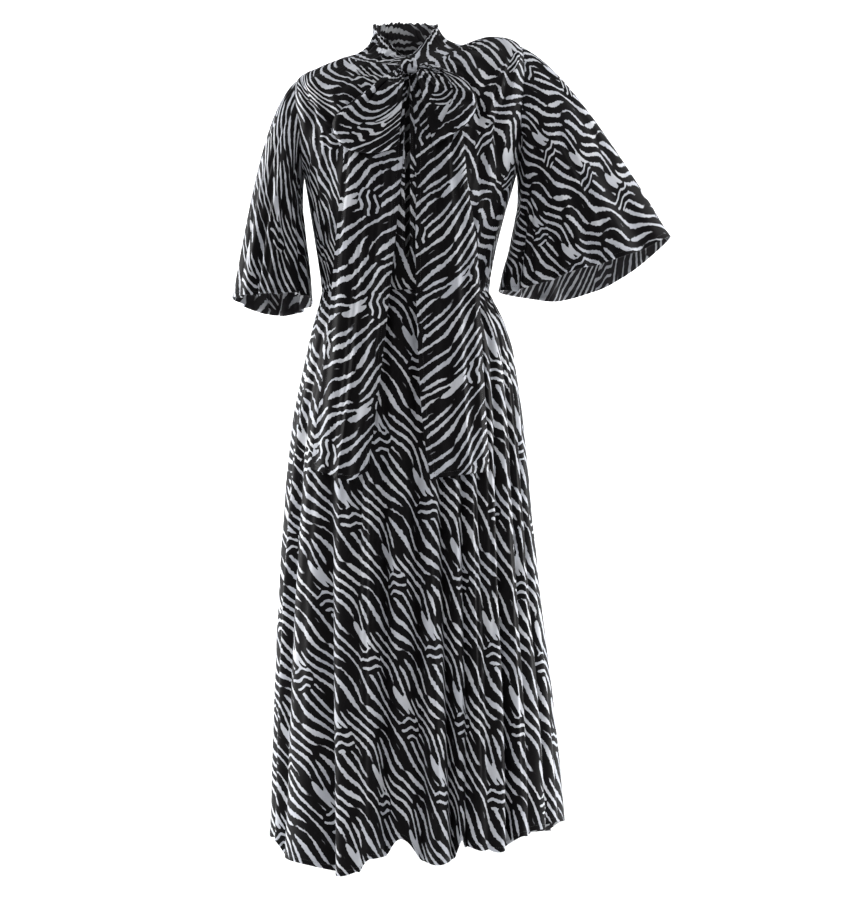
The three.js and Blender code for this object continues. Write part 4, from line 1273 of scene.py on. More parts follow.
@dataclass
class Collar:
    """The gathered stand collar, open in front behind the knot, frilled along its top edge."""

    rings: Table = Table(
        RING_COLUMNS,
        (0, 54, 53, 57, 55, 63, 62, 17, 72, 2), (0.3, 58, 54, 58, 53, 52, 43, 10, 58, 2),
        (0.6, 66, 62, 62, 54, 41, 27, 2, 42, 2), (0.82, 78, 78, 67, 57, 34, 15, -6, 29, 2.05),
        (1, *NECKLINE),
    )
    opening: float = 3.0
    parting: float = 11.0
    frills: int = 44
    frill_depths: tuple[float, float] = (3.4, 1.3)
    gathers: float = 27.28
    gather_depths: tuple[float, float] = (1.8, 5.0)
    scallop_height: float = 2.6
    columns: int = 420
    rows: int = 44

    def panel(self) -> Panel:
        """The collar with its gathers, ready to be made."""
        at = np.linspace(0, 1, self.rows) ** 1.15
        ring = {name: part[:, None] for name, part in self.rings.read(at).items()}
        first = np.arccos((SLIT_CENTRE - self.opening) / ring["left"])
        last = FULL_TURN + np.arccos((SLIT_CENTRE + self.opening) / ring["left"])
        place = np.linspace(0, 1, self.columns)[None, :]
        angles = lerp(first, last, place)
        points = ring_points(ring, angles)
        row = at[:, None]
        scrunched = bump(place - 0.17, 0.22)
        calm = 1 - 0.55 * bump(place - 0.86, 0.2)
        frill = uneven(place, self.frills, 0.9)
        at_top, below = self.frill_depths
        depth = frill * (at_top * (1 - smoothstep(row, 0, 0.34)) + below) * calm
        plain, bunched = self.gather_depths
        gather = uneven(place + 0.012 * np.sin(row * 5), self.gathers, 0.15)
        depth = depth + gather * (plain + bunched * scrunched) * smoothstep(row, 0.06, 0.3) * calm
        roll = bump(row - 0.5, 0.18) * (2.2 * scrunched + 0.8)
        depth = depth - roll * (0.5 + 0.5 * np.sin(place * 61 + 4 * row))
        held = (1 - smoothstep(row, 0.84, 1)) * smoothstep(np.minimum(place, 1 - place), 0, 0.012)
        points = points - outward(points) * (depth * held)[..., None]
        scallop = (frill - 0.4) * self.scallop_height + 0.9 * np.sin(place * 133)
        points[..., 2] += scallop * (1 - smoothstep(row, 0, 0.16)) * held
        parted = bump(np.minimum(place, 1 - place), 0.1) * (1 - smoothstep(row, 0, 0.75))
        points[..., 2] -= self.parting * parted
        points[-1] -= unit(points[-1] - points[-2]) * SEAM / 2
        return Panel("collar", points, Lay(14, (2.66, 1.13)))


FOLD_COLUMNS = "waist hem top middle bottom setBack rise"
FRONT_FOLDS = Table(
    FOLD_COLUMNS,
    (0.988, 0.98, 2, 8, 14, 2, 74), (0.962, 0.91, 3, 10, 15, 3, 68), (0.91, 0.795, 4, 13, 13, 0, 58),
    (0.805, 0.66, 5, 18, 32, 0, 37), (0.64, 0.515, 4, 13, 8, 0, 42), (0.5, 0.4, 5, 16, 22, 14, 56),
    (0.286, 0.326, 5, 20, 38, 0, 21), (0.112, 0.106, 5, 20, 42, 34, 60), (-0.2, -0.14, 5, 21, 42, 3, 28),
    (-0.392, -0.335, 4, 14, 9, 0, 2), (-0.655, -0.565, 5, 20, 38, 2, 16), (-0.88, -0.952, 5, 16, 19, 4, 40),
    (-0.975, -0.985, 3, 10, 12, 0, 42),
)
BACK_FOLDS = Table(
    FOLD_COLUMNS,
    (-0.975, -0.975, 3, 12, 22, 4, 20), (-0.86, -0.84, 5, 17, 32, 2, 16), (-0.65, -0.6, 5, 21, 37, 0, 22),
    (-0.47, -0.43, 5, 15, 22, 8, 30), (-0.28, -0.26, 5, 20, 36, 0, 20), (-0.09, -0.06, 5, 22, 40, 16, 34),
    (0.12, 0.14, 5, 19, 34, 2, 22), (0.31, 0.33, 5, 17, 24, 6, 30), (0.5, 0.52, 5, 20, 37, 0, 24),
    (0.68, 0.7, 5, 18, 31, 2, 32), (0.84, 0.86, 5, 15, 28, 4, 42), (0.965, 0.97, 3, 12, 22, 0, 66),
)


SEAM_SHARES = [0.4988, 0.5012]  # places across a crest where the two panels end


@dataclass
class Skirt:
    """Front and back skirt panels, gathered at the waist and hanging in deep soft folds."""

    columns_per_fold: int = 17
    rows: int = 122
    sharpness: float = 2.1
    lowest_hem: float = 1318.0
    trough_lift: float = 5.0
    hem_sway: float = 1.6
    fold_sways: tuple[float, float] = (0.011, 0.006)
    second_gathers: int = 39
    second_gather_depth: float = 2.4
    swell_depth: float = 0.8
    # Each crease: the fold it lies in, place across it, its two ends, half width and depth
    creases: tuple[tuple[float, ...], ...] = (
        (1, 0.5, 0.1, 0.8, 0.2, 3.0), (2, 0.44, 0.2, 1.0, 0.18, 3.6), (3, 0.62, 0.04, 0.7, 0.16, 3.2),
        (4, 0.36, 0.3, 0.95, 0.14, 3.4), (5, 0.55, 0.08, 0.6, 0.2, 3.2), (6, 0.4, 0.35, 1.05, 0.16, 4.0),
        (7, 0.52, 0.05, 0.55, 0.2, 4.0), (8, 0.34, 0.06, 0.72, 0.12, 3.6), (8, 0.68, 0.3, 1.0, 0.13, 3.4),
        (9, 0.5, 0.12, 0.5, 0.18, 3.0), (10, 0.42, 0.22, 0.9, 0.14, 3.8), (10, 0.72, 0.03, 0.5, 0.1, 2.6),
        (11, 0.56, 0.15, 0.75, 0.2, 3.0), (13, 0.5, 0.1, 0.65, 0.2, 3.0), (14, 0.42, 0.2, 1.0, 0.16, 3.6),
        (15, 0.6, 0.05, 0.7, 0.16, 3.2), (16, 0.45, 0.3, 0.9, 0.18, 3.4), (17, 0.6, 0.08, 0.6, 0.16, 3.2),
        (18, 0.4, 0.25, 1.0, 0.14, 4.0), (19, 0.55, 0.06, 0.6, 0.18, 3.4), (20, 0.45, 0.3, 0.95, 0.18, 3.4),
        (21, 0.6, 0.1, 0.7, 0.16, 3.2), (22, 0.42, 0.2, 0.85, 0.18, 3.4), (23, 0.5, 0.08, 0.7, 0.2, 3.0),
    )

    def troughs(self) -> tuple[list[dict[str, float]], Array, Array]:
        """All folds round the skirt, with the angles of their troughs at the waist and the hem."""
        folds = FRONT_FOLDS.rows + BACK_FOLDS.rows
        split = len(FRONT_FOLDS.rows)
        angles = []
        for name in ("waist", "hem"):
            turned = np.arccos([fold[name] for fold in folds])
            turned[split:] = FULL_TURN - turned[split:]
            angles.append(turned)
        return folds, angles[0], angles[1]

    def columns(self) -> tuple[Array, Array, int, int]:
        """The fold and the place across it of each column.

        Returns:
            Fold numbers, places, and the first column after the right and the left side seam.
        """
        count = self.columns_per_fold
        total = len(FRONT_FOLDS.rows) + len(BACK_FOLDS.rows)
        fold = np.repeat(np.arange(total), count).tolist()
        share = np.tile(np.arange(count) / count, total).tolist()
        after = []
        for index, behind in ((len(FRONT_FOLDS.rows) - 1, 0), (total - 1, 2)):
            start = index * count + (count + 1) // 2 + behind
            fold[start:start] = [index, index]
            share[start:start] = SEAM_SHARES
            after.append(start + 1)
        return np.array(fold), np.array(share), after[0], after[1]

    def grid(self) -> tuple[Array, int, int]:
        """The whole skirt's points, and the columns after its two side seams."""
        folds, waist, hem = self.troughs()
        fold, share, right, left = self.columns()
        total = len(folds)
        following = (fold + 1) % total
        wrap = np.where(fold + 1 >= total, FULL_TURN, 0)
        parts = {name: np.array([item[name] for item in folds])
                 for name in ("top", "middle", "bottom", "setBack", "rise")}
        dent = soft_dent(share, self.sharpness)
        nearer = np.where(share < 0.5, fold, following)
        step = (np.linspace(0, 1, self.rows) ** 1.2)[:, None]
        rise = parts["rise"]
        edge_rise = np.minimum(rise[fold], np.where(share < 0.5, rise[fold - 1], rise[following]))
        lift = lerp(rise[fold], edge_rise, dent) + self.trough_lift * dent
        lift = lift + self.hem_sway * np.sin(fold * 2.3 + share * 5)
        start = lerp(waist[fold], hem[fold], step)
        end = lerp(waist[following] + wrap, hem[following] + wrap, step)
        angle = lerp(start, end, share)
        slow, quick = self.fold_sways
        sway = slow * np.sin(4.2 * step + 1.9 * nearer) + quick * np.sin(9.5 * step + 3.1 * nearer)
        angle = angle + sway * dent * smoothstep(step, 0.05, 0.3)
        drop = lerp(WAIST_DROP + SEAM / 2, self.lowest_hem - lift, step)
        smooth = ring_points(level(SKIRT_SECTIONS.read(drop), -drop, SKIRT_SQUARENESS), angle)
        upper = lerp(parts["top"][nearer], parts["middle"][nearer], smoothstep(step, 0, 0.5))
        upper = upper * smoothstep(step, 0, 0.05)
        lower = (parts["bottom"] - parts["middle"])[nearer] * smoothstep(step, 0.35, 1)
        depth = dent * (upper + lower) + (1 - dent) * parts["setBack"][fold] * smoothstep(step, 0.45, 1)
        for index, place, begin, stop, width, deep in self.creases:
            run = running(step, begin - 0.08, begin + 0.12, stop - 0.15, stop)
            drift = 0.05 * np.sin(step * 6 + index)
            depth = depth + np.where(fold == index, deep * run * bump(share - place - drift, width), 0)
        fade = 0.045 + 0.05 * uneven(angle / FULL_TURN, 31, 0.8)
        depth = depth + waist_gathers(angle) * (1 - smoothstep(step / fade, 0.05, 1))
        second = uneven(angle / FULL_TURN, self.second_gathers, 0.12)
        depth = depth + self.second_gather_depth * second * running(step, 0, 0.03, 0.05, 0.22)
        swell = 1 + rumple(angle * 210, drop, 2.1)
        depth = depth + self.swell_depth * swell * smoothstep(step, 0.02, 0.2)
        points = smooth - outward(smooth, closed=True) * depth[..., None]
        points[0, :, 2] = -WAIST_DROP - SEAM / 2
        return points, right, left

    def panels(self) -> list[Panel]:
        """The two panels, ready to be made."""
        points, right, left = self.grid()
        normals = outward(points, closed=True)
        for seam in (right, left):
            shared = unit(normals[:, seam - 1] + normals[:, seam])
            normals[:, seam - 1], normals[:, seam] = shared, shared
        normals[0, :, 2] = 0
        normals[0] = unit(normals[0])
        round_front = np.concatenate([np.arange(left, points.shape[1]), np.arange(right)])
        round_back = np.arange(right, left)
        front = Panel("skirt_front", points[:, round_front],
                      Lay(-56, (3.3, 0.9), flared=True),
                      normals=normals[:, round_front], hems=(Edge.BOTTOM,))
        back = Panel("skirt_back", points[:, round_back],
                     Lay(-54, (0.9, 2.7), flared=True),
                     normals=normals[:, round_back], hems=(Edge.BOTTOM,))
        return [front, back]


KNOT_DEPTH = NECKLINE[2] + LAYER_GAP + 13.0
ROUND_SHARE = 2.6 / 3.4     # how much of the print shows round the knot, and along it
ALONG_SHARE = 0.9
NEAR_TAIL = 36.0            # how far from a place a tail still holds a loop up
ROLL_TURNS = (-54, -18, 18, 54)


@dataclass
class Knot:
    """The small puffed knot, a band of cloth wound round the roots of loops and tails."""

    middle: tuple[float, float, float] = (8.0, -KNOT_DEPTH, -16.0)
    width: float = 17.0
    height: float = 14.0
    depth: float = 12.0
    root_offset: float = 5.0
    bands: int = 7
    band_depth: float = 0.17
    pleats: int = 17
    pleat_depth: float = 0.06
    print_place: tuple[float, float] = (-0.0205, 0.106)
    rows: int = 60
    columns: int = 96

    def edge(self, angle: Array, forward: float) -> Array:
        """Places just off the knot's surface.

        Args:
            angle: in the front view, in degrees.
            forward: how far in front of the knot's middle.

        Returns:
            The points, in millimetres.
        """
        space = SEAM * 2.1
        girth = math.sqrt(1 - (forward / self.depth) ** 2)
        turn = np.radians(angle)
        return np.stack([
            self.middle[0] + (self.width * girth + space) * np.cos(turn),
            np.full(turn.shape, self.middle[1] - forward),
            self.middle[2] + (self.height * girth + space) * np.sin(turn)], axis=-1)

    def build(self, wardrobe: Wardrobe) -> bpy.types.Object:
        """Makes the knot.

        Args:
            wardrobe: the finishes.

        Returns:
            The mesh object, at the origin.
        """
        tilt = np.linspace(0, math.pi, self.rows + 1)[1:-1, None]
        turn = np.linspace(0, FULL_TURN, self.columns, endpoint=False)[None, :]
        along = np.cos(tilt) * np.ones_like(turn)
        out = np.sin(tilt)
        wind = turn + 0.35 * np.sin(2.1 * tilt + turn)
        band = 0.5 - 0.5 * np.cos(self.bands * wind + 1.4 * np.sin(3 * tilt))
        pleat = 0.5 - 0.5 * np.cos(self.pleats * wind - 2.2 * tilt + 0.8)
        pinch = 1 - 0.16 * bump(along - 0.08, 0.5)
        drawn_in = self.band_depth * band ** 1.6 * out + self.pleat_depth * pleat * out
        girth = out * (1.05 - drawn_in) * pinch
        bulge = 1 + 0.06 * np.sin(3 * turn + 2 * tilt) * out
        x = self.middle[0] + self.width * along * bulge
        y = self.middle[1] - self.depth * girth * np.cos(turn)
        z = self.middle[2] + self.height * girth * np.sin(turn)
        grid = np.stack([x, y, z], axis=-1)
        poles = np.array(self.middle) + np.array([[self.width, 0, 0], [-self.width, 0, 0]])
        rows, columns = grid.shape[:2]
        number = lambda row, column: row * columns + column % columns
        faces = []
        for column in range(columns):
            faces.append([number(0, column + 1), number(0, column), rows * columns])
            faces.append([number(rows - 1, column), number(rows - 1, column + 1), rows * columns + 1])
            for row in range(rows - 1):
                faces.append([number(row, column), number(row, column + 1),
                              number(row + 1, column + 1), number(row + 1, column)])
        from_front = (turn + math.pi) % FULL_TURN - math.pi
        round_knot = from_front * self.height * MM * ROUND_SHARE + 0 * tilt
        places = np.stack([round_knot, along * self.width * MM * ALONG_SHARE], axis=-1)
        places = np.vstack([places.reshape(-1, 2), [[0.0, 0.014], [0.0, -0.014]]])
        return printed("bow_knot_cloth", np.vstack([grid.reshape(-1, 3), poles]), faces,
                       places + np.array(self.print_place), wardrobe.take(Finish.RIGHT_SIDE))


@dataclass
class Tail:
    """A long flat tail that hangs from the knot over the bodice and the top of the skirt.

    edges are its two sides at each drop in the front view, hem its lower edge, and roots the
    angles on the knot between which it leaves it. A fold has a place across the tail, a half
    width and a height. A crease has a start, an end and a lean as well.
    """

    node: str
    edges: Table
    hem: Table
    folds: tuple[tuple[float, ...], ...]
    creases: tuple[tuple[float, ...], ...]
    roots: tuple[float, float]
    lay: Lay
    coarse_columns: int = 12
    coarse_steps: tuple[float, ...] = (0, 0.035, 0.09, 0.15, 0.22, 0.3, 0.39, 0.49, 0.6, 0.73, 0.87, 1)
    rows: int = 170
    columns: int = 68
    gathers: int = 7
    gather_height: float = 2.6
    swell_height: float = 0.8

    def spanned(self, drops: Array, depths: Array) -> Array:
        """Depths along a hanging strip, which spans the hollows between the places it touches."""
        kept = [0]
        for index in range(1, len(drops)):
            while len(kept) > 1:
                first, second = kept[-2], kept[-1]
                slope = (depths[index] - depths[first]) / (drops[index] - drops[first])
                if depths[first] + slope * (drops[second] - drops[first]) < depths[second]:
                    break
                kept.pop()
            kept.append(index)
        return np.interp(drops, drops[kept], depths[kept])

    def resting(self, knot: Knot) -> Array:
        """The tail's few main points, in millimetres, where it rests on the dress.

        Args:
            knot: the knot that it comes from.

        Returns:
            Rows down the tail and columns across it.
        """
        steps = np.array(self.coarse_steps)
        columns = []
        for across in np.linspace(0, 1, self.coarse_columns + 1):
            root = knot.edge(np.array(lerp(*self.roots, across)), -knot.root_offset)
            drops = lerp(-root[2], float(self.hem.read(across)["drop"]), steps)
            sides = self.edges.read(np.maximum(drops, self.edges.rows[0]["drop"]))
            spread = smoothstep(steps, 0, 0.07)
            x = lerp(root[0], lerp(sides["left"], sides["right"], across), spread)
            depths = front_depth(x, drops) + CAD_CLOTH + LAYER_GAP
            depths[0] = -root[1]
            depths = self.spanned(drops, depths)
            raised = sum(height * bump(across - place, width) for place, width, height in self.folds)
            lift = raised * smoothstep(steps, 0.02, 0.3)
            columns.append(np.stack([x, -depths - lift, -drops], axis=-1))
        return np.stack(columns, axis=1)

    def panel(self, knot: Knot) -> Panel:
        """The tail with its creases, ready to be made.

        Args:
            knot: the knot that it comes from.

        Returns:
            The piece.
        """
        step = np.linspace(0, 1, self.rows) ** 1.1
        place = np.linspace(0, 1, self.columns)
        coarse = self.resting(knot)
        down = Curve(self.coarse_steps, coarse).read(step)
        keys = np.linspace(0, 1, self.coarse_columns + 1)
        points = np.swapaxes(Curve(keys, np.swapaxes(down, 0, 1)).read(place), 0, 1)
        row, across = step[:, None], place[None, :]
        lift = np.zeros(points.shape[:2])
        gather = uneven(across, self.gathers, self.roots[0] / 100)
        lift += self.gather_height * gather * running(row, 0, 0.02, 0.04, 0.26)
        for middle, width, height, start, end, lean in self.creases:
            run = running(row, start - 0.08, start + 0.1, end - 0.1, end + 0.08)
            lift += height * run * bump(across - middle - lean * (row - start), width)
        swell = 1 + rumple(across * 120, row * 640, self.roots[1] / 30)
        lift += self.swell_height * swell * smoothstep(row, 0.05, 0.2)
        lift += smoothstep(row, 0.55, 1) * (2.4 + 2.2 * np.sin(across * 7.4 + self.roots[1]))
        points = points + np.array([0.0, -1.0, 0.0]) * lift[..., None]
        return Panel(self.node, points, self.lay, reverse=Finish.RIGHT_SIDE,
                     hems=(Edge.FIRST, Edge.LAST, Edge.BOTTOM))


@dataclass
class Loop:
    """A bow loop: a band that leaves the knot, turns at its rim and comes back over itself.

    Each row of the rim gives its place in the front view, how far the layer behind reaches
    back (inner) and the layer in front (lip), the angle of its root on the knot, and the
    radius of its roll. front_to_knot says that the layer in front runs back to the knot.
    """

    node: str
    rim: Table
    front_to_knot: bool
    crease_count: float
    lay: Lay
    steps_along: int = 12
    rows: int = 84
    columns: int = 76
    gather_depth: float = 3.6
    swell_depth: float = 0.7

    def layer_depth(self, tail: Array, x: float, z: float) -> float:
        """The front of the tail round a place, read from its own points."""
        away = np.hypot(tail[..., 0] - x, tail[..., 2] - z)
        near = np.where(away < NEAR_TAIL, -tail[..., 1], 0).max()
        return max(near, float(front_depth(x, -z)) + CAD_CLOTH)

    def paths(self, knot: Knot, tail: Array) -> Array:
        """The band's main points: one path over the rim for each step along it.

        Args:
            knot: the knot that it comes from.
            tail: the main points of the tail that it lies on.

        Returns:
            Rows along the rim and columns over it, in millimetres.
        """
        rows = []
        back_shares = (1, 0.5, 0) if self.front_to_knot else (1, 0.8, 0.6, 0.4, 0.2, 0)
        front_shares = (0, 0.25, 0.5, 0.75, 0.9, 1) if self.front_to_knot else (0, 0.5, 1)
        for share in np.linspace(0, 1, self.steps_along + 1):
            found = {name: float(value) for name, value in self.rim.read(share).items()}
            base = knot.edge(np.array(found["root"]), knot.root_offset)
            along = np.array([found["x"], base[1], found["z"]]) - base
            length = float(np.linalg.norm(along))
            along = along / length
            roll = min(found["roll"], length * 0.3)
            straight = length - roll
            back = min(found["inner"], straight * 0.6) if self.front_to_knot else straight
            front = straight if self.front_to_knot else min(found["lip"], straight * 0.7)
            centre = base + along * straight
            on_tail = self.layer_depth(tail, centre[0], centre[2]) + CAD_CLOTH + LAYER_GAP

            def place(distance: float, lift: float) -> Array:
                """A point of the path, settled on the tail."""
                point = base + along * distance
                under = self.layer_depth(tail, point[0], point[2]) + CAD_CLOTH + LAYER_GAP
                layer = max(under, on_tail * 0.97)
                point[1] = lerp(base[1], -layer - lift, float(smoothstep(distance, 0, 40)))
                return point

            path = [place(straight - back * part, 0) for part in back_shares]
            for degrees in ROLL_TURNS:
                turn = math.radians(degrees)
                path.append(place(straight + roll * math.cos(turn), roll * (1 + math.sin(turn))))
            curl = 0.0 if self.front_to_knot else 0.6
            path += [place(straight - front * part, 2 * roll * (1 - curl * part ** 1.6))
                     for part in front_shares]
            rows.append(path)
        return np.array(rows)

    def panel(self, knot: Knot, tail: Array) -> Panel:
        """The loop with its creases, ready to be made.

        Args:
            knot: the knot that it comes from.
            tail: the main points of the tail that it lies on.

        Returns:
            The piece.
        """
        coarse = self.paths(knot, tail)
        place = np.linspace(0, 1, self.rows)
        down = Curve(np.linspace(0, 1, len(coarse)), coarse).read(place)
        lengths = arcs(down).mean(axis=0)
        over = np.linspace(0, lengths[-1], self.columns)
        points = np.swapaxes(Curve(lengths, np.swapaxes(down, 0, 1)).read(over), 0, 1)
        from_knot = np.linalg.norm(points - np.array(knot.middle), axis=-1)
        row = place[:, None]
        gather = uneven(row + 0.0006 * from_knot, self.crease_count, 0.37)
        reach = smoothstep(from_knot, 14, 24) * (1 - 0.75 * smoothstep(from_knot, 30, 105))
        edge = smoothstep(np.minimum(row, 1 - row), 0, 0.06)
        depth = self.gather_depth * gather * reach * edge
        swell = 1 + rumple(row * 130, over[None, :], 1.9)
        depth = depth + self.swell_depth * swell * edge * smoothstep(from_knot, 20, 40)
        points = points - outward(points) * depth[..., None]
        return Panel(self.node, points, self.lay, middle=0.4, reverse=Finish.RIGHT_SIDE)


@dataclass
class Stitches:
    """Short stitches of black thread along the turned edges, by Geometry Nodes."""

    pitch: float = 0.0033
    length: float = 0.0023
    width: float = 0.00055
    height: float = 0.0005
    shortest: float = 0.88
    longest: float = 1.1
    above_cloth: float = 0.05
    seed: int = 7
    lines: Lines = field(default_factory=list)

    def tree(self, material: bpy.types.Material) -> tuple[bpy.types.NodeTree, dict[str, str]]:
        """Makes the node tree that sets a stitch at every pitch along each line.

        Args:
            material: the thread's finish.

        Returns:
            The tree and the identifiers of its inputs by name.
        """
        made = bpy.data.node_groups.new("stitch_rows", "GeometryNodeTree")
        kinds = {"Lines": "Geometry", "Pitch": "Float", "Length": "Float", "Width": "Float",
                 "Height": "Float", "Seed": "Int"}
        names = {}
        for name, kind in kinds.items():
            socket = made.interface.new_socket(name, in_out="INPUT", socket_type=f"NodeSocket{kind}")
            names[name] = socket.identifier
        made.interface.new_socket("Stitches", in_out="OUTPUT", socket_type="NodeSocketGeometry")
        tree = NodeTree(made)
        entry = made.nodes.new("NodeGroupInput")
        given = {name: Value(tree, entry.outputs[name]) for name in kinds}
        curve = tree.node("GeometryNodeMeshToCurve", {}, {0: given["Lines"]})
        spaced = tree.node("GeometryNodeResampleCurve", {"mode": "LENGTH"},
                           {"Curve": curve, "Length": given["Pitch"]})
        tangent = tree.node("GeometryNodeInputTangent", {}, {})
        facing = tree.node("GeometryNodeInputNamedAttribute", {"data_type": "FLOAT_VECTOR"},
                           {"Name": "facing"}, "Attribute")
        along = tree.node("FunctionNodeAlignRotationToVector", {"axis": "X"}, {"Vector": tangent})
        upright = tree.node("FunctionNodeAlignRotationToVector", {"axis": "Z", "pivot_axis": "X"},
                            {"Rotation": along, "Vector": facing})
        bead = tree.node("GeometryNodeMeshUVSphere", {}, {"Segments": 6, "Rings": 4, "Radius": 0.5})
        vary = tree.node("FunctionNodeRandomValue", {"data_type": "FLOAT"},
                         {"Min": self.shortest, "Max": self.longest, "Seed": given["Seed"]}, 1)
        size = tree.node("ShaderNodeCombineXYZ", {},
                         {0: given["Length"] * vary, 1: given["Width"], 2: given["Height"]})
        beads = tree.node("GeometryNodeInstanceOnPoints", {},
                          {"Points": spaced, "Instance": bead, "Rotation": upright, "Scale": size})
        real = tree.node("GeometryNodeRealizeInstances", {}, {0: beads})
        smooth = tree.node("GeometryNodeSetShadeSmooth", {}, {0: real})
        finish = tree.node("GeometryNodeSetMaterial", {}, {0: smooth, "Material": material})
        tree.close("NodeGroupOutput", finish)
        return made, names

    def guides(self) -> bpy.types.Object:
        """The lines as one mesh of edges that carries the cloth's outward directions."""
        points, edges, facing = [], [], []
        for path, normals in self.lines:
            start = len(points)
            points += ((path + normals * self.above_cloth) * MM).tolist()
            facing += normals.tolist()
            edges += [(start + index, start + index + 1) for index in range(len(path) - 1)]
        mesh = bpy.data.meshes.new("stitch_guides")
        mesh.from_pydata(points, edges, [])
        directions = mesh.attributes.new("facing", "FLOAT_VECTOR", "POINT")
        directions.data.foreach_set("vector", np.array(facing, dtype=np.float32).ravel())
        return placed("stitch_guides", mesh)

    def build(self, wardrobe: Wardrobe) -> bpy.types.Object:
        """Makes the stitches as one plain mesh.

        Args:
            wardrobe: the finishes.

        Returns:
            The mesh object, at the origin.
        """
        guides = self.guides()
        tree, names = self.tree(wardrobe.take(Finish.THREAD))
        modifier = guides.modifiers.new("stitches", "NODES")
        modifier.node_group = tree
        sizes = {"Pitch": self.pitch, "Length": self.length, "Width": self.width,
                 "Height": self.height, "Seed": self.seed}
        for name, size in sizes.items():
            modifier[names[name]] = size
        shown = guides.evaluated_get(bpy.context.evaluated_depsgraph_get())
        mesh = bpy.data.meshes.new_from_object(shown)
        guides.modifiers.remove(modifier)
        bpy.data.objects.remove(guides)
        mesh.name = "edge_stitches"
        return placed("edge_stitches", mesh)


@dataclass
class Studio:
    """A pale sweep, soft lights and the camera at the photograph's angle."""

    floor: float = -1.5
    wall: float = 6.4
    half_width: float = 9.0
    front: float = -9.0
    top: float = 5.0
    bend: float = 1.2
    lens: float = 120.7
    stand: tuple[float, float, float] = (0.038, -5.0, -0.643)
    sky: Colour = (0.97, 0.98, 1.0, 1.0)
    sky_strength: float = 0.24
    # Each lamp: its name, where it stands, the point that it faces, its side and its watts
    lamps: tuple[tuple, ...] = (
        ("key", (-1.6, -3.6, 1.2), (0.0, 0.0, -0.6), 1.6, 22),
        ("fill", (2.6, -3.0, 0.2), (0.0, 0.0, -0.7), 2.0, 11),
        ("side_left", (-2.2, 0.5, -0.2), (0.0, 0.0, -0.6), 2.0, 95),
        ("side_right", (2.3, 0.5, -0.2), (0.0, 0.0, -0.6), 2.0, 95),
        ("top", (0.1, -0.2, 2.4), (0.0, 0.0, -0.4), 1.8, 34),
        ("backdrop_left", (-3.0, 4.4, 0.4), (-0.8, 6.4, -0.6), 2.4, 200),
        ("backdrop_right", (3.0, 4.4, 0.4), (0.8, 6.4, -0.6), 2.4, 200),
    )

    def sweep(self, wardrobe: Wardrobe) -> bpy.types.Object:
        """Makes the floor and backdrop as one bent sheet.

        Args:
            wardrobe: the finishes.

        Returns:
            The sheet.
        """
        profile = [(self.front, self.floor)]
        for turn in np.linspace(0, math.pi / 2, 25):
            profile.append((self.wall - self.bend + self.bend * math.sin(turn),
                            self.floor + self.bend - self.bend * math.cos(turn)))
        profile.append((self.wall, self.top))
        vertices, faces = [], []
        for y, z in profile:
            vertices += [(-self.half_width, y, z), (self.half_width, y, z)]
        for index in range(len(profile) - 1):
            low = 2 * index
            faces.append((low, low + 1, low + 3, low + 2))
        mesh = bpy.data.meshes.new("room_sweep")
        mesh.from_pydata(vertices, [], faces)
        mesh.materials.append(wardrobe.take(Finish.SWEEP))
        mesh.polygons.foreach_set("use_smooth", np.ones(len(faces), dtype=bool))
        sheet = placed("room_sweep", mesh)
        return sheet

    def light(self, name: str, place: Sequence[float], aim: Sequence[float], size: float,
              power: float) -> None:
        """Adds one soft square light.

        Args:
            name: its name.
            place: where it stands, in metres.
            aim: the point that it faces.
            size: the length of its side.
            power: in watts.
        """
        lamp = bpy.data.lights.new(name, "AREA")
        lamp.size = size
        lamp.energy = power
        stand = placed(name, lamp)
        stand.location = place
        towards = np.array(aim, dtype=float) - np.array(place, dtype=float)
        yaw = math.atan2(towards[0], -towards[1])
        pitch = math.atan2(math.hypot(towards[0], towards[1]), -towards[2])
        stand.rotation_euler = (pitch, 0.0, yaw + math.pi)

    def camera(self) -> None:
        """Stands the camera where the photograph was taken."""
        lens = bpy.data.cameras.new("photo_camera")
        lens.sensor_width = 36.0
        lens.lens = self.lens
        camera = placed("photo_camera", lens)
        camera.location = self.stand
        camera.rotation_euler = (math.pi / 2, 0.0, 0.0)
        bpy.context.scene.camera = camera

    def build(self, wardrobe: Wardrobe) -> None:
        """Sets up the whole room."""
        self.sweep(wardrobe)
        world = bpy.data.worlds.new("pale_room")
        world.use_nodes = True
        sky = world.node_tree.nodes["Background"]
        sky.inputs["Color"].default_value = self.sky
        sky.inputs["Strength"].default_value = self.sky_strength
        bpy.context.scene.world = world
        bpy.context.scene.view_settings.view_transform = "Standard"
        for lamp in self.lamps:
            self.light(*lamp)
        self.camera()


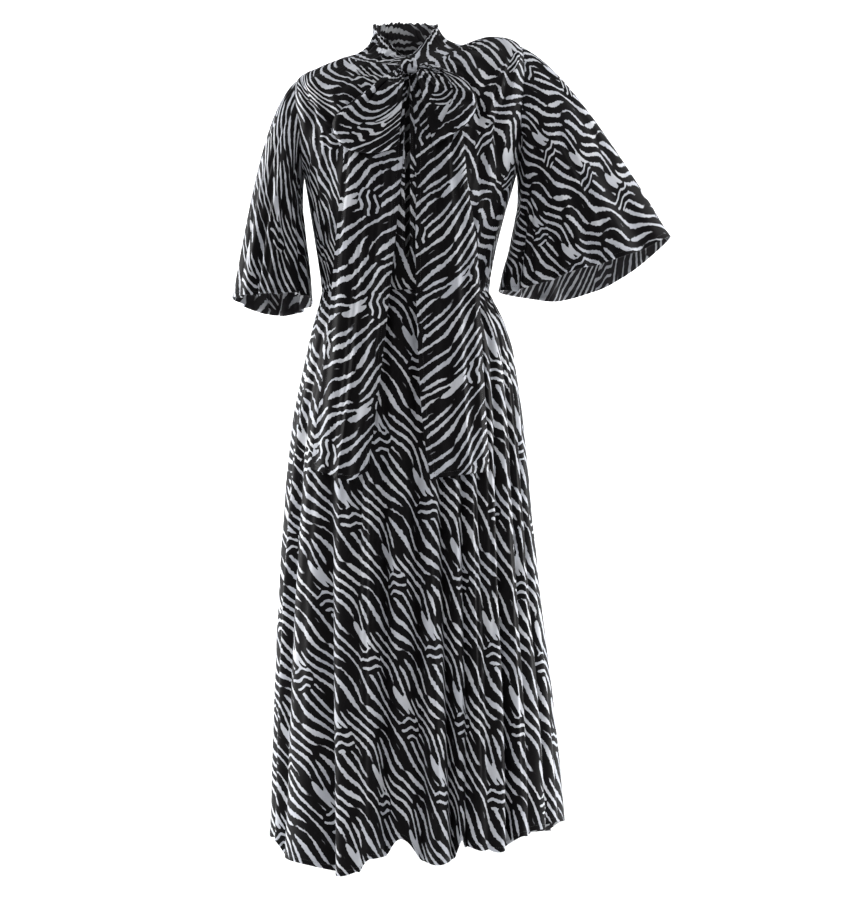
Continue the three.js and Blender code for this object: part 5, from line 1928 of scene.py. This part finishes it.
LEFT_SLEEVE = Sleeve(
    "sleeve_left", 1,
    Table("round x y z", (0, 440, 4, -287), (0.125, 372, -58, -318), (0.25, 284, -78, -345),
          (0.375, 196, -62, -374), (0.5, 152, -8, -378), (0.625, 190, 58, -385),
          (0.75, 270, 82, -388), (0.875, 366, 66, -350), closed=True),
    leave=((0.93, -0.36), (0.55, -0.83), (0.12, -0.99)),
    reach=((0.56, -0.83), (0.3, -0.95), (-0.22, -0.97)),
    pull=(86, 60), hang=(88, 70),
    folds=((0.1, 0.035, 9, 0.35), (0.21, 0.035, 12, 0.2), (0.31, 0.035, 15, 0.1),
           (0.41, 0.03, 14, 0.2), (0.6, 0.035, 12, 0.3), (0.72, 0.035, 13, 0.2),
           (0.84, 0.035, 11, 0.2)),
    creases=((0.05, 0.02, 2.6, 0.1, 0.6, 0.02), (0.155, 0.018, 3.0, 0.3, 1.1, 0.01),
             (0.26, 0.018, 3.2, 0.15, 0.8, -0.02), (0.36, 0.016, 2.8, 0.4, 1.1, 0.01),
             (0.55, 0.018, 2.4, 0.2, 0.7, 0.02), (0.66, 0.018, 3.0, 0.3, 1.1, -0.01),
             (0.78, 0.018, 3.2, 0.1, 0.75, 0.02), (0.93, 0.018, 2.6, 0.35, 1.1, -0.01)),
    lay=Lay(-62, (5.2, 0.6), flared=True, fineness=1.3),
)
RIGHT_SLEEVE = Sleeve(
    "sleeve_right", -1,
    Table("round x y z", (0, -286, 0, -389), (0.125, -262, -62, -386), (0.25, -216, -86, -384),
          (0.375, -168, -68, -384), (0.5, -151, -6, -394), (0.625, -166, 64, -408),
          (0.75, -214, 88, -414), (0.875, -262, 62, -404), closed=True),
    leave=((-0.82, -0.57), (-0.4, -0.92), (-0.1, -0.99)),
    reach=((-0.2, -0.98), (-0.1, -0.99), (0.06, -0.99)),
    pull=(66, 60), hang=(120, 90),
    folds=((0.07, 0.03, 12, 0.25), (0.17, 0.035, 17, 0.12), (0.28, 0.035, 17, 0.16),
           (0.39, 0.035, 15, 0.3), (0.6, 0.035, 14, 0.3), (0.72, 0.035, 18, 0.15),
           (0.83, 0.035, 16, 0.2), (0.94, 0.03, 12, 0.3)),
    creases=((0.03, 0.016, 2.6, 0.3, 1.1, 0.01), (0.12, 0.018, 3.0, 0.1, 0.7, 0.02),
             (0.225, 0.018, 3.2, 0.3, 1.1, -0.01), (0.335, 0.018, 3.0, 0.05, 0.7, 0.01),
             (0.46, 0.016, 2.4, 0.3, 0.9, 0.0), (0.66, 0.018, 3.0, 0.2, 0.8, 0.02),
             (0.775, 0.018, 3.2, 0.3, 1.1, -0.01), (0.89, 0.018, 2.8, 0.1, 0.7, 0.01)),
    lay=Lay(-47, (2.3, 3.4), flared=True),
)
LEFT_TAIL = Tail(
    "tie_tail_left",
    Table("drop left right", (34, 15, 9), (80, 76, 15), (125, 93, 18), (205, 101, 19),
          (300, 116, 18), (420, 123, 20), (590, 132, 29), (690, 139, 43)),
    Table("across drop", (0, 674), (0.6, 681), (1, 686)),
    folds=((0.1, 0.1, 5), (0.36, 0.13, 8), (0.72, 0.12, 5)),
    creases=((0.22, 0.06, 2.2, 0.05, 0.5, 0.1), (0.5, 0.07, 2.6, 0.2, 0.8, -0.06),
             (0.62, 0.05, 1.8, 0.02, 0.35, 0.1), (0.85, 0.06, 2.4, 0.35, 1.1, -0.04),
             (0.3, 0.05, 2.0, 0.6, 1.1, 0.06)),
    roots=(-40, -82), lay=Lay(31, (4.1, 2.2)),
)
RIGHT_TAIL = Tail(
    "tie_tail_right",
    Table("drop left right", (34, 5, -2), (80, 0, -68), (125, -1, -90), (205, -5, -101),
          (300, -15, -111), (420, -27, -121), (590, -47, -141), (690, -62, -154)),
    Table("across drop", (0, 674), (0.3, 688), (0.7, 678), (1, 670)),
    folds=((0.2, 0.12, 7), (0.5, 0.1, 4), (0.8, 0.13, 6)),
    creases=((0.35, 0.06, 2.4, 0.05, 0.55, 0.08), (0.64, 0.06, 2.4, 0.2, 0.9, -0.05),
             (0.12, 0.05, 2.0, 0.3, 0.8, 0.05), (0.9, 0.05, 2.2, 0.1, 0.6, -0.06),
             (0.5, 0.06, 2.2, 0.65, 1.1, 0.04)),
    roots=(-98, -140), lay=Lay(46, (0.6, 4.6)),
)
LEFT_LOOP = Loop(
    "bow_loop_left",
    Table("at x z inner lip root roll", (0, 40, -16, 12, 8, -8, 5), (0.15, 66, -23, 34, 26, -14, 8),
          (0.35, 101, -43, 62, 37, -20, 9), (0.55, 118, -80, 78, 39, -27, 9),
          (0.75, 99, -118, 62, 34, -34, 8), (0.9, 68, -141, 32, 21, -41, 6),
          (1, 47, -152, 12, 8, -48, 4)),
    front_to_knot=False, crease_count=11, lay=Lay(78, (6.43, 1.27), fineness=1.1),
)
RIGHT_LOOP = Loop(
    "bow_loop_right",
    Table("at x z inner root roll", (0, -98, -91, 24, 196, 7), (0.22, -113, -111, 30, 204, 8),
          (0.45, -107, -139, 34, 212, 6), (0.65, -84, -158, 34, 222, 4), (0.85, -42, -161, 30, 232, 3),
          (1, -9, -149, 24, 242, 3)),
    front_to_knot=True, crease_count=9, lay=Lay(43, (7.34, 3.15)),
)


@dataclass
class Dress:
    """The whole dress: makes each piece and dresses it."""

    wardrobe: Wardrobe = field(default_factory=Wardrobe)
    made: dict[str, bpy.types.Object] = field(default_factory=dict)
    stitches: Stitches = field(default_factory=Stitches)

    def make(self, panel: Panel) -> bpy.types.Object:
        """Makes one sewn piece in place of its solid.

        Args:
            panel: the piece.

        Returns:
            Its object.
        """
        piece = dressed(panel.build(self.wardrobe), panel.node)
        self.stitches.lines += panel.seam_lines()
        self.made[panel.node] = piece
        widths = arcs(panel.points)[:, -1]
        longest = panel.distance_from(Edge.TOP)[-1].max()
        LOG.info("%s: %d faces, %.0f mm wide (%.0f on average), %.0f mm long", piece.name,
                 len(piece.data.polygons), widths.max(), widths.mean(), longest)
        return piece

    def build(self) -> None:
        """Makes every piece of the dress."""
        bodice = Bodice()
        for panel in bodice.panels():
            self.make(panel)
        self.stitches.lines += bodice.slit_lines()
        for sleeve in (LEFT_SLEEVE, RIGHT_SLEEVE):
            self.make(sleeve.panel(bodice))
        self.make(Collar().panel())
        for panel in Skirt().panels():
            self.make(panel)
        knot = Knot()
        for tail, loop in ((LEFT_TAIL, LEFT_LOOP), (RIGHT_TAIL, RIGHT_LOOP)):
            self.make(tail.panel(knot))
            self.make(loop.panel(knot, tail.resting(knot)))
        self.made["bow_knot"] = dressed(knot.build(self.wardrobe), "bow_knot")
        stitches = dressed(self.stitches.build(self.wardrobe))
        self.made["stitches"] = stitches
        LOG.info("%s: %d faces", stitches.name, len(stitches.data.polygons))


def main() -> None:
    """Builds the dress and its room."""
    logging.basicConfig(level=logging.INFO, format="%(name)s: %(message)s", stream=sys.stdout)
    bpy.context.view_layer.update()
    dress = Dress()
    dress.build()
    Studio().build(dress.wardrobe)
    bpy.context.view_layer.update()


if __name__ == "__main__":
    main()
